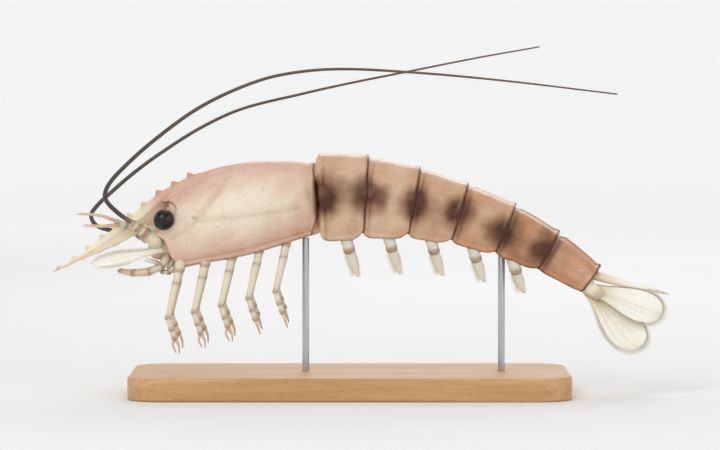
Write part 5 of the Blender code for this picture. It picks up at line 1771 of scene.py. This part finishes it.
def backdrop_piece(colour):
    """A round floor that curves up into a wall, so that every view has the same plain ground."""
    profile = [(radius, 0.0) for radius in FLOOR_RINGS]
    profile += [(ROOM_RADIUS - ROOM_BEND + ROOM_BEND * math.sin(a), ROOM_BEND * (1 - math.cos(a)))
                for a in np.linspace(0, math.pi / 2, 12)]
    profile.append((ROOM_RADIUS, ROOM_HEIGHT))
    around = np.arange(96) * math.tau / 96
    grid = np.array([[(r * math.cos(a), r * math.sin(a), z) for a in around] for r, z in profile])
    shape = Shape()
    rows, count = grid.shape[:2]
    shape.add(np.concatenate((grid.reshape(-1, 3), ((0, 0, 0),))),
              (lattice(rows, count, wrap=True), fan_of(rows * count, np.arange(count))))
    mesh = mesh_of("backdrop", shape)
    mesh.materials.append(matt_paper("studio paper, matt, far part glowing with painted light", colour, WALL_PAINTED_GLOW))
    put_in_scene("backdrop", mesh)


# Each soft light: place and aim in mm, width in mm, share of the key light's power, and colour
LIGHTS = {
    "key": ((-330, -620, 620), (0, 0, 45), 520, 1, "FFFCF7"),
    "fill": ((620, -560, 260), (0, 0, 45), 600, 0.35, "F2F6FF"),
    "back": ((120, 620, 560), (0, 0, 55), 520, 0.7, "FFFFFF"),
    "top": ((0, -40, 900), (0, 0, 0), 800, 0.4, "FFFFFF"),
}


def add_light(name, place, aim, width, power, hex_colour):
    light = bpy.data.lights.new(name, "AREA")
    light.size, light.energy, light.color = width * MM, power, linear(hex_colour)
    lamp = put_in_scene(name, light)
    lamp.location = Vector(place) * MM
    lamp.rotation_euler = (Vector(aim) - Vector(place)).to_track_quat("-Z", "Y").to_euler()


VIEW_MIDDLE = (2.6, 0, 44)
SENSOR = 36  # the camera's own width of film, in millimetres


def add_camera(stage):
    """A long lens from the animal's left side, which frames the whole of it."""
    camera = bpy.data.cameras.new("camera")
    camera.sensor_width = SENSOR
    camera.lens = SENSOR * stage.distance / stage.width
    camera.clip_start, camera.clip_end = 0.05, 10.0
    seat = put_in_scene("camera", camera)
    out = Vector((0, -math.cos(stage.elevation), math.sin(stage.elevation)))
    seat.location = Vector(VIEW_MIDDLE) * MM + out * stage.distance
    seat.rotation_euler = (-out).to_track_quat("-Z", "Y").to_euler()
    bpy.context.scene.camera = seat


class PRAWN_OT_stage(bpy.types.Operator):
    """Make the floor, the soft studio light and the camera"""

    bl_idname = "prawn.stage"
    bl_label = "Stage"

    def execute(self, context):
        stage = context.scene.prawn_stage
        backdrop_piece(stage.backdrop)
        for name, (place, aim, width, share, hex_colour) in LIGHTS.items():
            add_light(name, place, aim, width, stage.key * share, hex_colour)
        world = bpy.data.worlds.new("studio")
        world.use_nodes = True
        sky = world.node_tree.nodes["Background"]
        sky.inputs["Color"].default_value = (1, 1, 1, 1)
        sky.inputs["Strength"].default_value = SKY_STRENGTH
        context.scene.world = world
        context.scene.view_settings.view_transform = "Standard"
        add_camera(stage)
        return {"FINISHED"}


# -------------------- add-on

OPERATORS = (PRAWN_OT_carapace, PRAWN_OT_tail_plates, PRAWN_OT_skin, PRAWN_OT_eyes, PRAWN_OT_feelers,
             PRAWN_OT_legs, PRAWN_OT_swimmerets, PRAWN_OT_tail_fan, PRAWN_OT_setae, PRAWN_OT_stand,
             PRAWN_OT_stage)
SETTINGS = (("prawn_sizes", PrawnSizes), ("prawn_colours", PrawnColours), ("prawn_stage", PrawnStage))


class PRAWN_PT_panel(bpy.types.Panel):
    """Lists the settings and the pieces, in the order in which they are made"""

    bl_idname = "PRAWN_PT_panel"
    bl_label = "Prawn Model"
    bl_space_type = "VIEW_3D"
    bl_region_type = "UI"
    bl_category = "Prawn"

    def draw(self, context):
        for prop, group in SETTINGS:
            column = self.layout.column(align=True)
            for name in group.__annotations__:
                column.prop(getattr(context.scene, prop), name)
        column = self.layout.column(align=True)
        for operator in OPERATORS:
            column.operator(operator.bl_idname)


def register():
    for kind in (*[group for _, group in SETTINGS], *OPERATORS, PRAWN_PT_panel):
        bpy.utils.register_class(kind)
    for prop, group in SETTINGS:
        setattr(bpy.types.Scene, prop, PointerProperty(type=group))


def unregister():
    for prop, _ in SETTINGS:
        delattr(bpy.types.Scene, prop)
    for kind in (PRAWN_PT_panel, *reversed(OPERATORS), *[group for _, group in reversed(SETTINGS)]):
        bpy.utils.unregister_class(kind)


def main():
    register()
    for operator in OPERATORS:
        group, name = operator.bl_idname.split(".")
        getattr(getattr(bpy.ops, group), name)()


if __name__ == "__main__":
    main()
